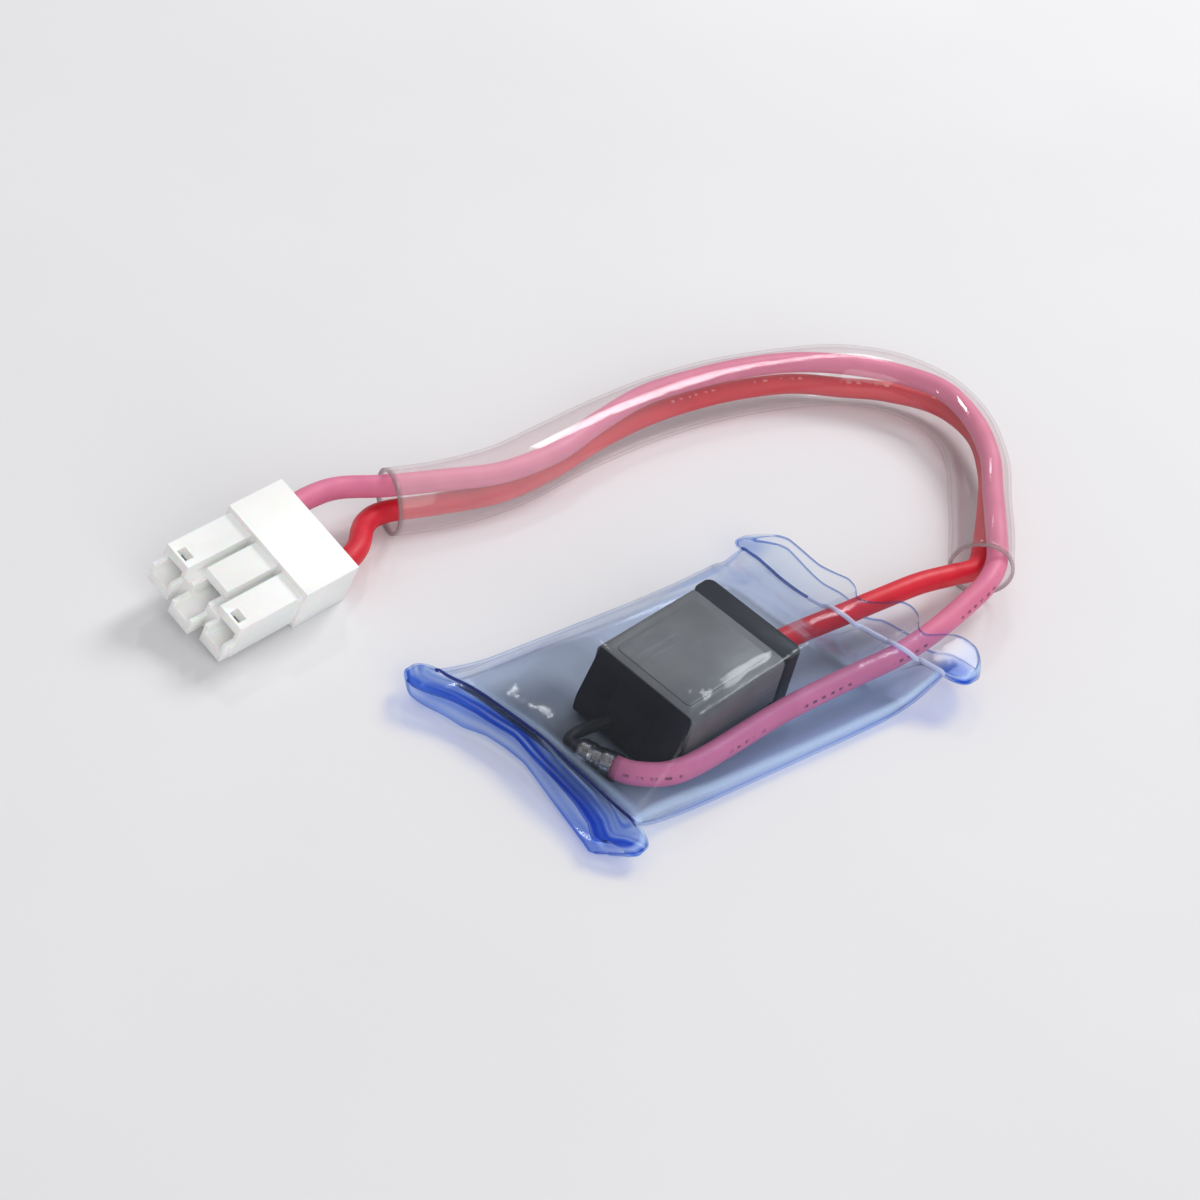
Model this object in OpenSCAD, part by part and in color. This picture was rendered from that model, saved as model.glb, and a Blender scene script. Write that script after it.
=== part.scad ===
// Defrost thermostat of a refrigerator: a bimetal switch sealed in a clear film pouch, with two
// leads that run through a clear tube to a three-way plug. Lengths are in millimetres.
// +X runs along the switch towards the lead end, +Y to the back, +Z up. The origin is on the
// surface that the pouch rests on, under the middle of the pouch.

/* [Switch body] */
// Length of the metal cover along the switch
cover_l = 16.1; // [14:0.1:18]
// Width of the switch over its metal cover
body_w = 15; // [14:0.1:17]
// Height of the switch over its metal cover
body_h = 8.7; // [8.4:0.1:10]
// How far the foot of the sloping end reaches past the cover
slope_run = 3.3; // [1.5:0.1:4.5]
// Length of the moulded block past the cover at the lead end
lead_end_l = 3.3; // [2:0.1:4]
// Radius of the upright corners of the moulding
corner_r = 1; // [0.5:0.1:1.5]
// Thickness of the metal cover
cover_t = 0.4; // [0.3:0.05:0.6]
// Height of the bare moulding under the skirts of the cover
skirt_gap = 1.9; // [1:0.1:3]
// Outer radius of the bend between the cover and its skirts
cover_bend_r = 0.9; // [0.6:0.1:1.2]
// Height of the raised pad on top of the cover
cover_pad_h = 0.12; // [0.05:0.01:0.2]
// Width of the two feet under each long side
foot_w = 2.2; // [1.5:0.1:3]
// Height of the feet under the moulding
foot_h = 0.5; // [0.3:0.1:0.8]

/* [Switch mechanism] */
// Diameter of the bimetal disc
disc_d = 11.4; // [10:0.1:12]
// Thickness of the bimetal disc
disc_t = 0.2; // [0.15:0.01:0.3]
// Height of the dish pressed into the disc
disc_dish = 0.4; // [0.3:0.01:0.45]
// Thickness of the guide plate under the disc
guide_t = 0.9; // [0.7:0.1:1.2]
// Height of the ring on the guide plate that carries the disc
guide_rim_h = 0.5; // [0.4:0.05:0.6]
// Diameter of the push pin
pin_d = 1.5; // [1.2:0.1:2]
// Gap all round the push pin in the guide plate
pin_clearance = 0.06; // [0.04:0.01:0.1]
// Thickness of the contact arm
arm_t = 0.25; // [0.2:0.01:0.35]
// Width of the contact arm
arm_w = 3.6; // [3:0.1:4.5]
// Gap between the round tip of the arm and the wall of the chamber
arm_gap = 0.4; // [0.3:0.05:0.6]
// Gap between the open contacts
contact_gap = 0.5; // [0.3:0.05:0.7]
// Play of the arm under its rivet and over its terminal
arm_play = 0.12; // [0.1:0.01:0.2]
// Diameter of the contact buttons
contact_d = 2.4; // [2:0.1:3]
// Height of the contact buttons
contact_h = 0.6; // [0.4:0.05:0.8]
// Diameter of the rivet shanks
shank_d = 1.1; // [0.9:0.1:1.4]
// Thickness of the brass terminals
terminal_t = 0.5; // [0.4:0.05:0.7]
// Width of the brass terminals
terminal_w = 4; // [3.4:0.1:5]

/* [Pouch] */
// Distance between the two welds of the pouch
weld_pitch = 45.2; // [43:0.1:50]
// Width of the flattened pouch
pouch_w = 30; // [28:0.5:36]
// Thickness of the film
film_t = 0.4; // [0.3:0.05:0.6]
// Height of the weld at the splice end
splice_weld_z = 3; // [2.5:0.1:4]
// Height of the weld at the lead end
lead_weld_z = 4; // [3.8:0.1:5]
// Length of the open lip past the weld at the splice end
splice_lip_l = 4.4; // [3:0.1:6]
// Length of the open lip past the weld at the lead end
lead_lip_l = 7; // [5:0.1:8]
// How far each fold edge flares out at the lips
ear_flare = 1.9; // [1:0.1:3]
// Height of the fold edges between the welds
fold_z = 1; // [0.8:0.1:2]

/* [Leads and tube] */
// Outer diameter of the two leads
lead_d = 2.8; // [2.4:0.1:3]
// Outer diameter of the clear tube round the leads
tube_d = 8.6; // [8.2:0.1:9]
// Wall of the clear tube
tube_t = 0.4; // [0.3:0.05:0.5]
// Diameter of the tail that leaves the sloping end
tail_d = 1.5; // [1.2:0.1:2]
// Diameter of the crimped splice barrel
barrel_d = 2.6; // [2.2:0.1:2.8]
// Wall of the clear sleeve on the splice
splice_wall = 0.35; // [0.3:0.05:0.5]

/* [Plug] */
// Distance between the ways of the plug
way_pitch = 4.8; // [4.6:0.1:5.2]
// Length of the rear block of the plug
block_l = 8; // [7:0.1:10]
// Width of the rear block
block_w = 14.4; // [14:0.1:16]
// Height of the rear block
block_h = 6.9; // [6.4:0.1:8]
// Length of the three towers in front of the block
tower_l = 9.2; // [8:0.1:11]
// Height of the towers
tower_h = 5.6; // [5:0.1:6]
// Width of the grooves between the towers
groove_w = 1; // [0.8:0.1:1.3]
// Side of the square hollow in each way
way_side = 3.2; // [3:0.1:3.4]
// Length of the low lip in front of each tower
plug_lip_l = 1.5; // [1:0.1:2.5]

/* [Fits] */
// Gap between pieces that are seated in each other
seat_fit = 0.05; // [0.03:0.01:0.1]
// Gap round each lead where it passes through something
lead_fit = 0.05; // [0.03:0.01:0.1]
// Gap between the film and the leads that lift it at the lead end
film_fit = 0.12; // [0.08:0.01:0.2]

/* [Hidden] */
$fn = 48;
eps = 0.01;

// Place of the switch in the pouch, and its heights over the resting surface
switch_x = -4.1;
switch_y = -0.4;
body_z = film_t + seat_fit;
body_top = body_z + body_h;
x_cover_l = -cover_l / 2;
x_cover_r = cover_l / 2;
x_foot = x_cover_l - slope_run;
x_lead_end = x_cover_r + lead_end_l;
mould_w = body_w - 2 * cover_t;
mould_h = body_h - cover_t - cover_pad_h;

// Heights inside the switch, measured from its underside
base_t = 1.2;
guide_z = mould_h - guide_t - guide_rim_h - disc_t - disc_dish - seat_fit;
disc_z = guide_z + guide_t + guide_rim_h;
guide_d = disc_d + 0.8;
rivet_head_d = 2.2;
rivet_head_h = 0.4;
rivet_tail_h = 0.3;
rivet_room = 0.16;
fixed_z = guide_z - rivet_room - rivet_tail_h - terminal_t;
contact_z = fixed_z - contact_h - contact_gap - contact_h;
arm_z = contact_z - arm_t;
terminal_z = arm_z - arm_play - terminal_t;
terminal_end = 0.8;
pocket_h = 4;
pocket_w = 6;
lead_pocket_w = 7.8;
lead_pocket_room = 0.73;
lead_pocket_top = fixed_z + terminal_t + lead_pocket_room;
end_wall = 1.35;
chamber_l = cover_l - 2 * end_wall;
arm_root_x = -chamber_l / 2 + arm_w / 2 + arm_gap / 2;
arm_tip_x = chamber_l / 2 - arm_w / 2 - arm_gap;
chamber_w = 9;

// Splice, from the end of the tail to the start of the pink lead
splice_z = 2.4;
splice_a = [-20.6, 0.5, splice_z];
splice_b = [-19.1, -3.7, splice_z];
splice_over = 0.7;

// Routes of the leads and of the tube, chosen by hand
tail_route = [
    [switch_x + x_cover_l - 0.75, 1.5, 2.55], [-14.6, 1.6, 2.5], [-16.2, 2, 2.4], [-17.9, 2.4, 2.3],
    [-19.2, 2.5, 2.3], [-20.1, 2.3, 2.3], [-20.6, 1.9, 2.35], [-20.8, 1.4, 2.4], [-20.74, 0.9, 2.4],
    splice_a
];
pink_route = [
    splice_b, splice_b + 0.6 * unit(splice_b - splice_a), [-18.5, -5.4, 2.6], [-17.3, -7.05, 2.9],
    [-15.6, -8.5, 3.2], [-13.4, -9.3, 3.4],
    [-9.6, -9.65, 3.3], [-4.2, -9.8, 3.2],
    [1.8, -10.2, 3.5], [8, -11, 3.8], [14.6, -12, 4], [21, -13, 4.2], [27.4, -13.4, 4.8],
    [33.4, -13.3, 5.6], [39, -12.7, 6], [44.1, -10.7, 5.9], [49.3, -6.6, 6.1], [55, -2, 5.9],
    [60.4, 2.6, 6.1], [64.5, 8.5, 6.3], [66.2, 15.2, 6.3], [64, 21.7, 5.8], [59.5, 27, 5.7],
    [53.6, 31.4, 5.7], [46.3, 34.5, 5.8], [38.3, 36.8, 5.7], [29.7, 38.3, 5.6], [20.7, 38.1, 5.1],
    [12, 37.1, 5], [3.2, 38.1, 5], [-4.6, 40.9, 5.5], [-11.2, 43.8, 5.7], [-16.6, 46.4, 6.1],
    [-20.8, 46.9, 6.3], [-24.6, 46.5, 6.3], [-26.8, 46.4, 6.3]
];
red_route = [
    [switch_x + x_lead_end - 0.6, -2.6, 4.6], [10, -2.9, 4.6], [14.6, -3.4, 4.4], [21, -4.4, 4.2],
    [27.4, -5.6, 4.4], [33.2, -6.8, 4.6], [38.4, -8.1, 4.2], [43.6, -8.7, 3.2], [48.8, -6.2, 2.6],
    [55.2, -2.1, 2.9], [60.9, 2.1, 3.1], [65.7, 7.9, 3.4], [67.4, 15.2, 2.8], [64.2, 21.8, 2.3],
    [59, 26.4, 2.3], [53.4, 31, 2.3], [46.1, 34.1, 2.4], [38.2, 36.3, 2.4], [29.6, 37.6, 2.4],
    [20.7, 37.8, 2.2], [12, 37.2, 2.1], [3.2, 37.7, 2.1], [-4.9, 40.2, 2.3], [-11.6, 42.9, 2.3],
    [-15.6, 42.2, 2.8], [-20, 38.7, 3.8], [-24.4, 37.2, 3.9], [-26.7, 37.1, 3.9]
];
tube_route = [
    [42.4, -9.9, 4.4], [48.3, -5.7, 4.4], [54.2, -1, 4.3], [59.6, 3.4, 4.3], [64, 8.8, 4.3],
    [65.8, 15.2, 4.3], [63.9, 21.6, 4.3], [59.2, 26.6, 4.3], [53, 30.2, 4.3], [45.8, 33.1, 4.3],
    [38, 35.3, 4.3], [29.5, 36.7, 4.3], [20.7, 37.4, 4.3], [12, 37.6, 4.3], [3.2, 38, 4.3],
    [-5, 39.7, 4.3], [-11.8, 42.5, 4.3]
];

// Pouch: its axis slants across the switch, and both welds lean against it
pouch_lean = -0.166;
weld_lean = 0.07;
pouch_x = -1.7;
pouch_y0 = 0.4;
weld_a = pouch_x - weld_pitch / 2;
weld_b = pouch_x + weld_pitch / 2;
slope_a = switch_x + x_cover_l - 0.3;
slope_b = switch_x + x_lead_end + 0.3;
half_w = pouch_w / 2;
fold_r = 0.55;
film_gap = 0.06;
ridge_r = lead_d / 2 + film_fit;

// Rims of the lips: share across the pouch from the front fold (-1) to the back fold (1), length
// past the weld and height
splice_rim_top = [
    [-1, 2.4, 1.6], [-0.85, 3.9, 2.4], [-0.67, 3.1, 2.2], [-0.5, 2.2, 2.1], [0, 1.5, 2], [0.3, 1.7, 2],
    [0.55, 2.3, 2.2], [0.85, 3.8, 3], [0.95, 4, 2.8], [1, 3.3, 2]
];
splice_rim_low = [
    [-1, 2.4, 1.6], [-0.85, 3.7, 0.5], [-0.73, 3.9, 0.2], [-0.57, 3.1, 0.2], [-0.28, 2.6, 0.2],
    [0.04, 1.6, 0.2], [0.3, 2.3, 0.2], [0.6, 3.4, 0.3], [0.85, 3.8, 0.8], [0.95, 4, 1.2], [1, 3.3, 2]
];
lead_rim_top = [
    [-1, 3.4, 3], [-0.93, 6.6, 3.9], [-0.8, 7.6, 4.4], [-0.6, 6.4, 5], [-0.4, 6, 5.4], [-0.25, 5.6, 5.2],
    [-0.02, 2.6, 4.8], [0.12, 5, 5.2], [0.35, 5.2, 5.2], [0.6, 6, 5], [0.85, 6.2, 4.6],
    [0.95, 5.4, 4.2], [1, 3.4, 3.4]
];
lead_rim_low = [
    [-1, 3.4, 3], [-0.93, 6, 2.4], [-0.8, 6.8, 2], [-0.6, 6, 2], [-0.25, 5.4, 2.2], [-0.02, 3, 2.4],
    [0.12, 4.6, 2.6], [0.6, 5.6, 2.4], [0.85, 6, 2.4], [0.95, 5.2, 2.6], [1, 3.4, 3.4]
];

// Plug, lying on its lower long edge with the other edge lifted by the leads
plug_pos = [-24.5, 42.7];
plug_turn = 1.5;
plug_roll = 14.8;
plug_z = block_w / 2 * sin(plug_roll);
tower_w = way_pitch - groove_w;
tower_z = 0.5;
latch_l = 1.9;

// Unit vector, smooth step and clamp
function unit(v) = v / norm(v);
function clamp(x, a, b) = min(max(x, a), b);
function smooth(x) = let (t = clamp(x, 0, 1)) t * t * (3 - 2 * t);

// Direction of travel at each point of a route
function along(p, i) = unit(p[min(i + 1, len(p) - 1)] - p[max(i - 1, 0)]);

// Ring of points with radius r round point i of route p, in n sides
function ring(p, i, r, n) =
    let (t = along(p, i), a = unit(cross(t, [0, 0, 1])), b = cross(a, t))
    [for (k = [0:n - 1]) p[i] + r * (cos(360 * k / n) * a + sin(360 * k / n) * b)];

// Faces of a closed tube of m rings with n points each
function tube_faces(m, n) = concat(
    [[for (k = [0:n - 1]) n - 1 - k]],
    [[for (k = [0:n - 1]) (m - 1) * n + k]],
    [for (i = [0:m - 2], k = [0:n - 1])
        let (j = (k + 1) % n)
        [i * n + k, i * n + j, (i + 1) * n + j, (i + 1) * n + k]]
);

// Solid cord of diameter d along a route
module cord(route, d, sides = 8) {
    points = [for (i = [0:len(route) - 1]) each ring(route, i, d / 2, sides)];
    polyhedron(points, tube_faces(len(route), sides), convexity = 10);
}

// Faces of a tube with a bore: n points on the outside and n on the inside of each of m rings
function bored_faces(m, n) = concat(
    [for (i = [0:m - 2], k = [0:n - 1])
        let (j = (k + 1) % n, a = 2 * n * i, b = 2 * n * (i + 1))
        [a + k, a + j, b + j, b + k]],
    [for (i = [0:m - 2], k = [0:n - 1])
        let (j = (k + 1) % n, a = 2 * n * i + n, b = 2 * n * (i + 1) + n)
        [a + j, a + k, b + k, b + j]],
    [for (k = [0:n - 1]) let (j = (k + 1) % n) [k, n + k, n + j, j]],
    [for (k = [0:n - 1])
        let (j = (k + 1) % n, a = 2 * n * (m - 1))
        [a + j, a + n + j, a + n + k, a + k]]
);

// Rectangle with round corners, centred in Y, from x0 to x1
module rounded_plan(x0, x1, w, r) {
    translate([x0, -w / 2 + r]) square([x1 - x0, w - 2 * r]);
    translate([x0 + r, -w / 2]) square([x1 - x0 - 2 * r, w]);
    for (x = [x0 + r, x1 - r], y = [-w / 2 + r, w / 2 - r]) translate([x, y]) circle(r);
}

// Moves a piece of the switch to its place in the pouch
module in_switch() {
    translate([switch_x, switch_y, body_z]) children();
}

// Block from x0 to x1 and z0 to z1, centred on y
module bar(x0, x1, w, z0, z1, y = 0) {
    translate([x0, y - w / 2, z0]) cube([x1 - x0, w, z1 - z0]);
}

// Black moulding with a sloping end, an open chamber and a pocket for the seal at each end
module switch_housing() {
    top = body_h - cover_pad_h - 0.15;
    color("#2c2a31") in_switch() difference() {
        union() {
            intersection() {
                translate([0, 0, foot_h]) linear_extrude(body_h) {
                    rounded_plan(x_foot, x_lead_end, mould_w - 2 * seat_fit, corner_r);
                    rounded_plan(x_cover_r + seat_fit, x_lead_end, body_w, corner_r);
                }
                rotate([90, 0, 0]) translate([0, 0, -body_w]) linear_extrude(2 * body_w) polygon([
                    [x_foot, 0], [x_lead_end, 0], [x_lead_end, top], [x_cover_l - seat_fit, top]
                ]);
            }
            for (x = [x_foot + 0.6, x_cover_l + 5, x_lead_end - foot_w], y = [-1, 1])
                bar(x, x + foot_w, 2, 0, foot_h + eps, y * (mould_w / 2 - 1.6));
        }
        // Step down for the cover
        bar(x_cover_l - seat_fit, x_cover_r + seat_fit, 2 * body_w, mould_h, 2 * body_h);
        for (y = [-1, 1]) translate([x_cover_l - seat_fit, y * mould_w / 2, mould_h])
            rotate([45, 0, 0]) translate([0, -0.4, -0.4]) cube([cover_l + 2 * seat_fit, 0.8, 0.8]);
        // Seat of the guide plate and the disc
        translate([0, 0, guide_z - seat_fit]) cylinder(d = guide_d + 2 * seat_fit, h = body_h);
        // Chamber of the contacts, open below for the base plate
        bar(-chamber_l / 2, chamber_l / 2, chamber_w, base_t, guide_z + eps);
        bar(-chamber_l / 2 - 1, chamber_l / 2 + 1, chamber_w + 2, -eps, base_t + seat_fit);
        // Pockets of the end seals
        bar(x_foot - 1, -chamber_l / 2 - 0.8, pocket_w, base_t, base_t + pocket_h);
        bar(chamber_l / 2 + 0.8, x_lead_end + 1, lead_pocket_w, base_t, lead_pocket_top);
        // Slots that the terminals pass through
        bar(-chamber_l / 2 - 1, -chamber_l / 2 + 1, terminal_w + 2 * seat_fit,
            terminal_z - seat_fit, terminal_z + terminal_t + seat_fit);
        bar(chamber_l / 2 - 1, chamber_l / 2 + 1, terminal_w + 2 * seat_fit,
            fixed_z - seat_fit, fixed_z + terminal_t + seat_fit);
    }
}

// Grey metal cover: a bent sheet over the top and both long sides, with a raised pad
module metal_cover() {
    color("#6f7073") in_switch() {
        rotate([90, 0, 90]) translate([0, 0, x_cover_l]) linear_extrude(cover_l) difference() {
            cover_profile(body_w, body_h - cover_pad_h, cover_bend_r);
            cover_profile(mould_w, mould_h, cover_bend_r - cover_t);
        }
        translate([0, 0, mould_h + cover_t]) linear_extrude(cover_pad_h)
            rounded_plan(x_cover_l + 1.1, x_cover_r - 1.1, body_w - 3.6, 0.6);
    }
}

// Section of the cover across the switch, as a filled arch down to the edge of its skirts
module cover_profile(w, top, r) {
    translate([-w / 2, skirt_gap]) square([w, top - skirt_gap - r]);
    translate([-w / 2 + r, skirt_gap]) square([w - 2 * r, top - skirt_gap]);
    for (y = [-w / 2 + r, w / 2 - r]) translate([y, top - r]) circle(r);
}

// Black plate that closes the chamber from below
module base_plate() {
    gap = seat_fit;
    color("#26242a") in_switch() difference() {
        bar(-chamber_l / 2 - 1 + gap, chamber_l / 2 + 1 - gap, chamber_w + 2 - 2 * gap,
            foot_h, base_t);
        translate([0, 0, foot_h - eps]) cylinder(d = 1.6, h = 0.4);
    }
}

// Bimetal disc in its warm shape, dished down on to the pin
module bimetal_disc() {
    r = disc_d / 2;
    color("#b9b2a4") in_switch() translate([0, 0, disc_z + seat_fit - disc_dish]) rotate_extrude($fn = 64)
        polygon(concat(
            [for (k = [0:6]) let (x = r * k / 6) [x, disc_t + disc_dish * pow(x / r, 2)]],
            [for (k = [6:-1:0]) let (x = r * k / 6) [x, disc_dish * pow(x / r, 2)]]
        ));
}

// Guide plate that carries the disc on its ring and leads the pin
module disc_guide() {
    color("#8c7a58") in_switch() translate([0, 0, guide_z]) difference() {
        cylinder(d = guide_d, h = guide_t + guide_rim_h);
        translate([0, 0, guide_t]) cylinder(d = disc_d - 0.6, h = guide_rim_h + 1);
        translate([0, 0, -1]) cylinder(d = pin_d + 2 * pin_clearance, h = guide_t + 2);
    }
}

// Ceramic push pin between the disc and the contact arm
module push_pin() {
    pin_top = disc_z - disc_dish;
    color("#efe9dc") in_switch() translate([0, 0, contact_z + seat_fit])
        cylinder(d = pin_d, h = pin_top - contact_z - seat_fit);
}

// Springy contact arm with a hole for its rivet and one for its contact
module contact_arm() {
    color("#c98d4c") in_switch() difference() {
        union() {
            bar(arm_root_x, arm_tip_x, arm_w, arm_z, contact_z);
            for (x = [arm_root_x, arm_tip_x])
                translate([x, 0, arm_z]) cylinder(d = arm_w, h = arm_t);
        }
        for (x = [arm_root_x, arm_tip_x])
            translate([x, 0, arm_z - 1]) cylinder(d = shank_d + 2 * seat_fit, h = 3);
    }
}

// Rivet with its head up: a button, a shank and a flat tail below
module rivet(head_d, head_h, grip, tail_h) {
    cylinder(d = head_d, h = head_h);
    translate([0, 0, -grip - eps]) cylinder(d = shank_d, h = grip + 2 * eps);
    translate([0, 0, -grip - tail_h]) cylinder(d = shank_d + 0.6, h = tail_h);
}

// Silver contact on the tip of the arm
module moving_contact() {
    color("#d9dadb") in_switch() translate([arm_tip_x, 0, contact_z])
        rivet(contact_d, contact_h, arm_t, rivet_tail_h);
}

// Rivet that holds the arm to its terminal
module arm_rivet() {
    color("#b5955a") in_switch() translate([arm_root_x, 0, contact_z + arm_play])
        rivet(rivet_head_d, rivet_head_h, arm_t + terminal_t + 2 * arm_play, rivet_tail_h);
}

// Brass terminal under the root of the arm, reaching into the pocket of the tail end
module moving_terminal() {
    color("#c7a04e") in_switch() difference() {
        bar(-chamber_l / 2 - 0.8 - terminal_end, arm_root_x + 1.6, terminal_w,
            terminal_z, terminal_z + terminal_t);
        translate([arm_root_x, 0, 0]) cylinder(d = shank_d + 2 * seat_fit, h = body_h);
    }
}

// Silver contact that looks down from the fixed terminal
module fixed_contact() {
    color("#d9dadb") in_switch() translate([arm_tip_x, 0, fixed_z]) mirror([0, 0, 1])
        rivet(contact_d, contact_h, terminal_t, rivet_tail_h);
}

// Brass terminal above the contacts, reaching into the pocket of the lead end
module fixed_terminal() {
    color("#c7a04e") in_switch() difference() {
        bar(arm_tip_x - 1.6, chamber_l / 2 + 0.8 + terminal_end, terminal_w,
            fixed_z, fixed_z + terminal_t);
        translate([arm_tip_x, 0, 0]) cylinder(d = shank_d + 2 * seat_fit, h = body_h);
    }
}

// Black resin in the pocket of the sloping end, round the tail and the terminal
module tail_end_seal() {
    gap = seat_fit;
    slope = slope_run / (body_h - cover_pad_h - 0.15);
    x_in = -chamber_l / 2 - 0.8 - terminal_end - gap;
    color("#1d1b20") difference() {
        in_switch() rotate([90, 0, 0]) translate([0, 0, gap - pocket_w / 2])
            linear_extrude(pocket_w - 2 * gap) polygon([
                [x_foot + slope * (base_t + gap) + 0.3, base_t + gap], [x_in, base_t + gap],
                [x_in, base_t + pocket_h - gap],
                [x_foot + slope * (base_t + pocket_h - gap) + 0.3, base_t + pocket_h - gap]
            ]);
        cord(tail_route, tail_d + 2 * lead_fit);
    }
}

// Black resin in the pocket of the lead end, round the red lead and the terminal
module lead_end_seal() {
    gap = seat_fit;
    color("#1d1b20") difference() {
        in_switch() bar(chamber_l / 2 + 0.8 + terminal_end + gap, x_lead_end - 0.3,
            lead_pocket_w - 2 * gap, base_t + gap, lead_pocket_top - gap);
        cord(red_route, lead_d + 2 * lead_fit);
    }
}

// Black tail from the sloping end to the splice
module tail_lead() {
    color("#201e22") cord(tail_route, tail_d);
}

// Places a piece along the splice, from its tail end
module along_splice() {
    run = splice_b - splice_a;
    translate(splice_a) rotate([0, 90, atan2(run[1], run[0])]) children();
}

// Crimped metal barrel that joins the tail to the pink lead, with a waist pressed in
module splice_barrel() {
    l = norm(splice_b - splice_a);
    color("#b8b4ac") along_splice() rotate_extrude() polygon([
        [0, eps], [barrel_d / 2 - 0.2, eps], [barrel_d / 2, 0.3], [barrel_d / 2, l * 0.3],
        [barrel_d / 2 - 0.3, l * 0.4], [barrel_d / 2 - 0.3, l * 0.6], [barrel_d / 2, l * 0.7],
        [barrel_d / 2, l - 0.3], [barrel_d / 2 - 0.2, l - eps], [0, l - eps]
    ]);
}

// Clear shrunk sleeve over the splice
module splice_sleeve() {
    l = norm(splice_b - splice_a);
    bore_r = lead_d / 2 + 0.12;
    color("#c9c6cc") along_splice() translate([0, 0, -splice_over]) difference() {
        cylinder(r = bore_r + splice_wall, h = l + 2 * splice_over);
        translate([0, 0, -1]) cylinder(r = bore_r, h = l + 2 * splice_over + 2);
    }
}

// Middle line of the pouch at x, and its half width at share t along a lip
function pouch_mid(x) = pouch_y0 + pouch_lean * (x - switch_x);
function half_width(t) = half_w + ear_flare * pow(t, 0.8);

// Value from a to b at share k
function mix(a, b, k) = a + (b - a) * k;

// Fullness of the section at share q: 1 in the middle and 0 at a fold edge
function fullness(q) = sqrt(max(0, 1 - pow(clamp((abs(q) - 0.62) / 0.38, 0, 1), 4)));

// Share of the way from the switch to the nearer weld at x
function slope_share(x) =
    clamp(x < slope_a ? (slope_a - x) / (slope_a - weld_a) : (x - slope_b) / (weld_b - slope_b), 0, 1);

// Share of the slope down from the switch at x and y: 0 over the switch, 1 at weld or fold
function fall(x, y) =
    let (
        side = (y > switch_y ? 1 : -1) * (pouch_mid(x) - switch_y),
        dy = (abs(y - switch_y) - body_w / 2 - 0.3) / (half_w + side - body_w / 2 - 0.3)
    )
    min(1, pow(pow(slope_share(x), 4) + pow(clamp(dy, 0, 1), 4), 1 / 4));

// Part of a lead's route inside the pouch, as x and the coordinate n
function route_in(route, n) = [for (p = route) if (p[1] < 0 && p[0] > -13 && p[0] < 40) [p[0], p[n]]];
red_y = route_in(red_route, 1);
red_z = route_in(red_route, 2);
pink_y = route_in(pink_route, 1);
pink_z = route_in(pink_route, 2);

// Line that the columns beside the pink lead follow, also where the lead has turned to the splice
function pink_line(x) = x > -9.6 ? lookup(x, pink_y) : mix(-9.65, -6.2, clamp((-9.6 - x) / 14, 0, 1));

// Length of a lip or height of its rim at share u
function rim(table, u, n) = lookup(u, [for (r = table) [r[0], r[n]]]);

// Station along the pouch: nominal x, share of a lip and side of the lip
function station_x(s, y, u, top) =
    let (
        table = s[2] < 0 ? (top ? splice_rim_top : splice_rim_low) : top ? lead_rim_top : lead_rim_low,
        lip = s[1] > 0 ? s[2] * s[1] * rim(table, u, 1) : 0
    )
    s[0] + lip - weld_lean * slope_share(s[0]) * (y - pouch_mid(s[0]));

// Columns of the film across the pouch at a station, from the back fold to the front fold
function columns(s) =
    let (
        m = pouch_mid(s[0]), w = half_width(s[1]),
        xr = station_x(s, lookup(s[0], red_y), (lookup(s[0], red_y) - m) / w, true),
        xp = station_x(s, pink_line(s[0]), (pink_line(s[0]) - m) / w, true),
        yb = switch_y + body_w / 2 + 0.35, yr = lookup(xr, red_y), yp = pink_line(xp),
        across = [1.8, 1.17, 0.59, 0, -0.59, -1.17, -1.8] * ridge_r,
        yr0 = yr + across[0], yr1 = yr + across[6], yp0 = yp + across[0], yp1 = yp + across[6]
    )
    concat(
        [m + w, m + w - 0.4, m + w - 1.1, mix(m + w - 1.1, yb, 0.35), mix(m + w - 1.1, yb, 0.7), yb],
        [mix(yb, yr0, 0.35), mix(yb, yr0, 0.7)],
        [for (d = across) yr + d], [mix(yr1, yp0, 0.5)], [for (d = across) yp + d],
        [mix(yp1, m - w + 1.1, 0.5), m - w + 1.1, m - w + 0.4, m - w]
    );

// Lift of the film over the middle of a lead at distance d from it
function lift(d) =
    ridge_r * lookup(abs(d) / ridge_r, [[0, 1.05], [0.59, 1.03], [1.17, 0.24], [1.8, -0.4], [2.4, -3]]);

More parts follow.
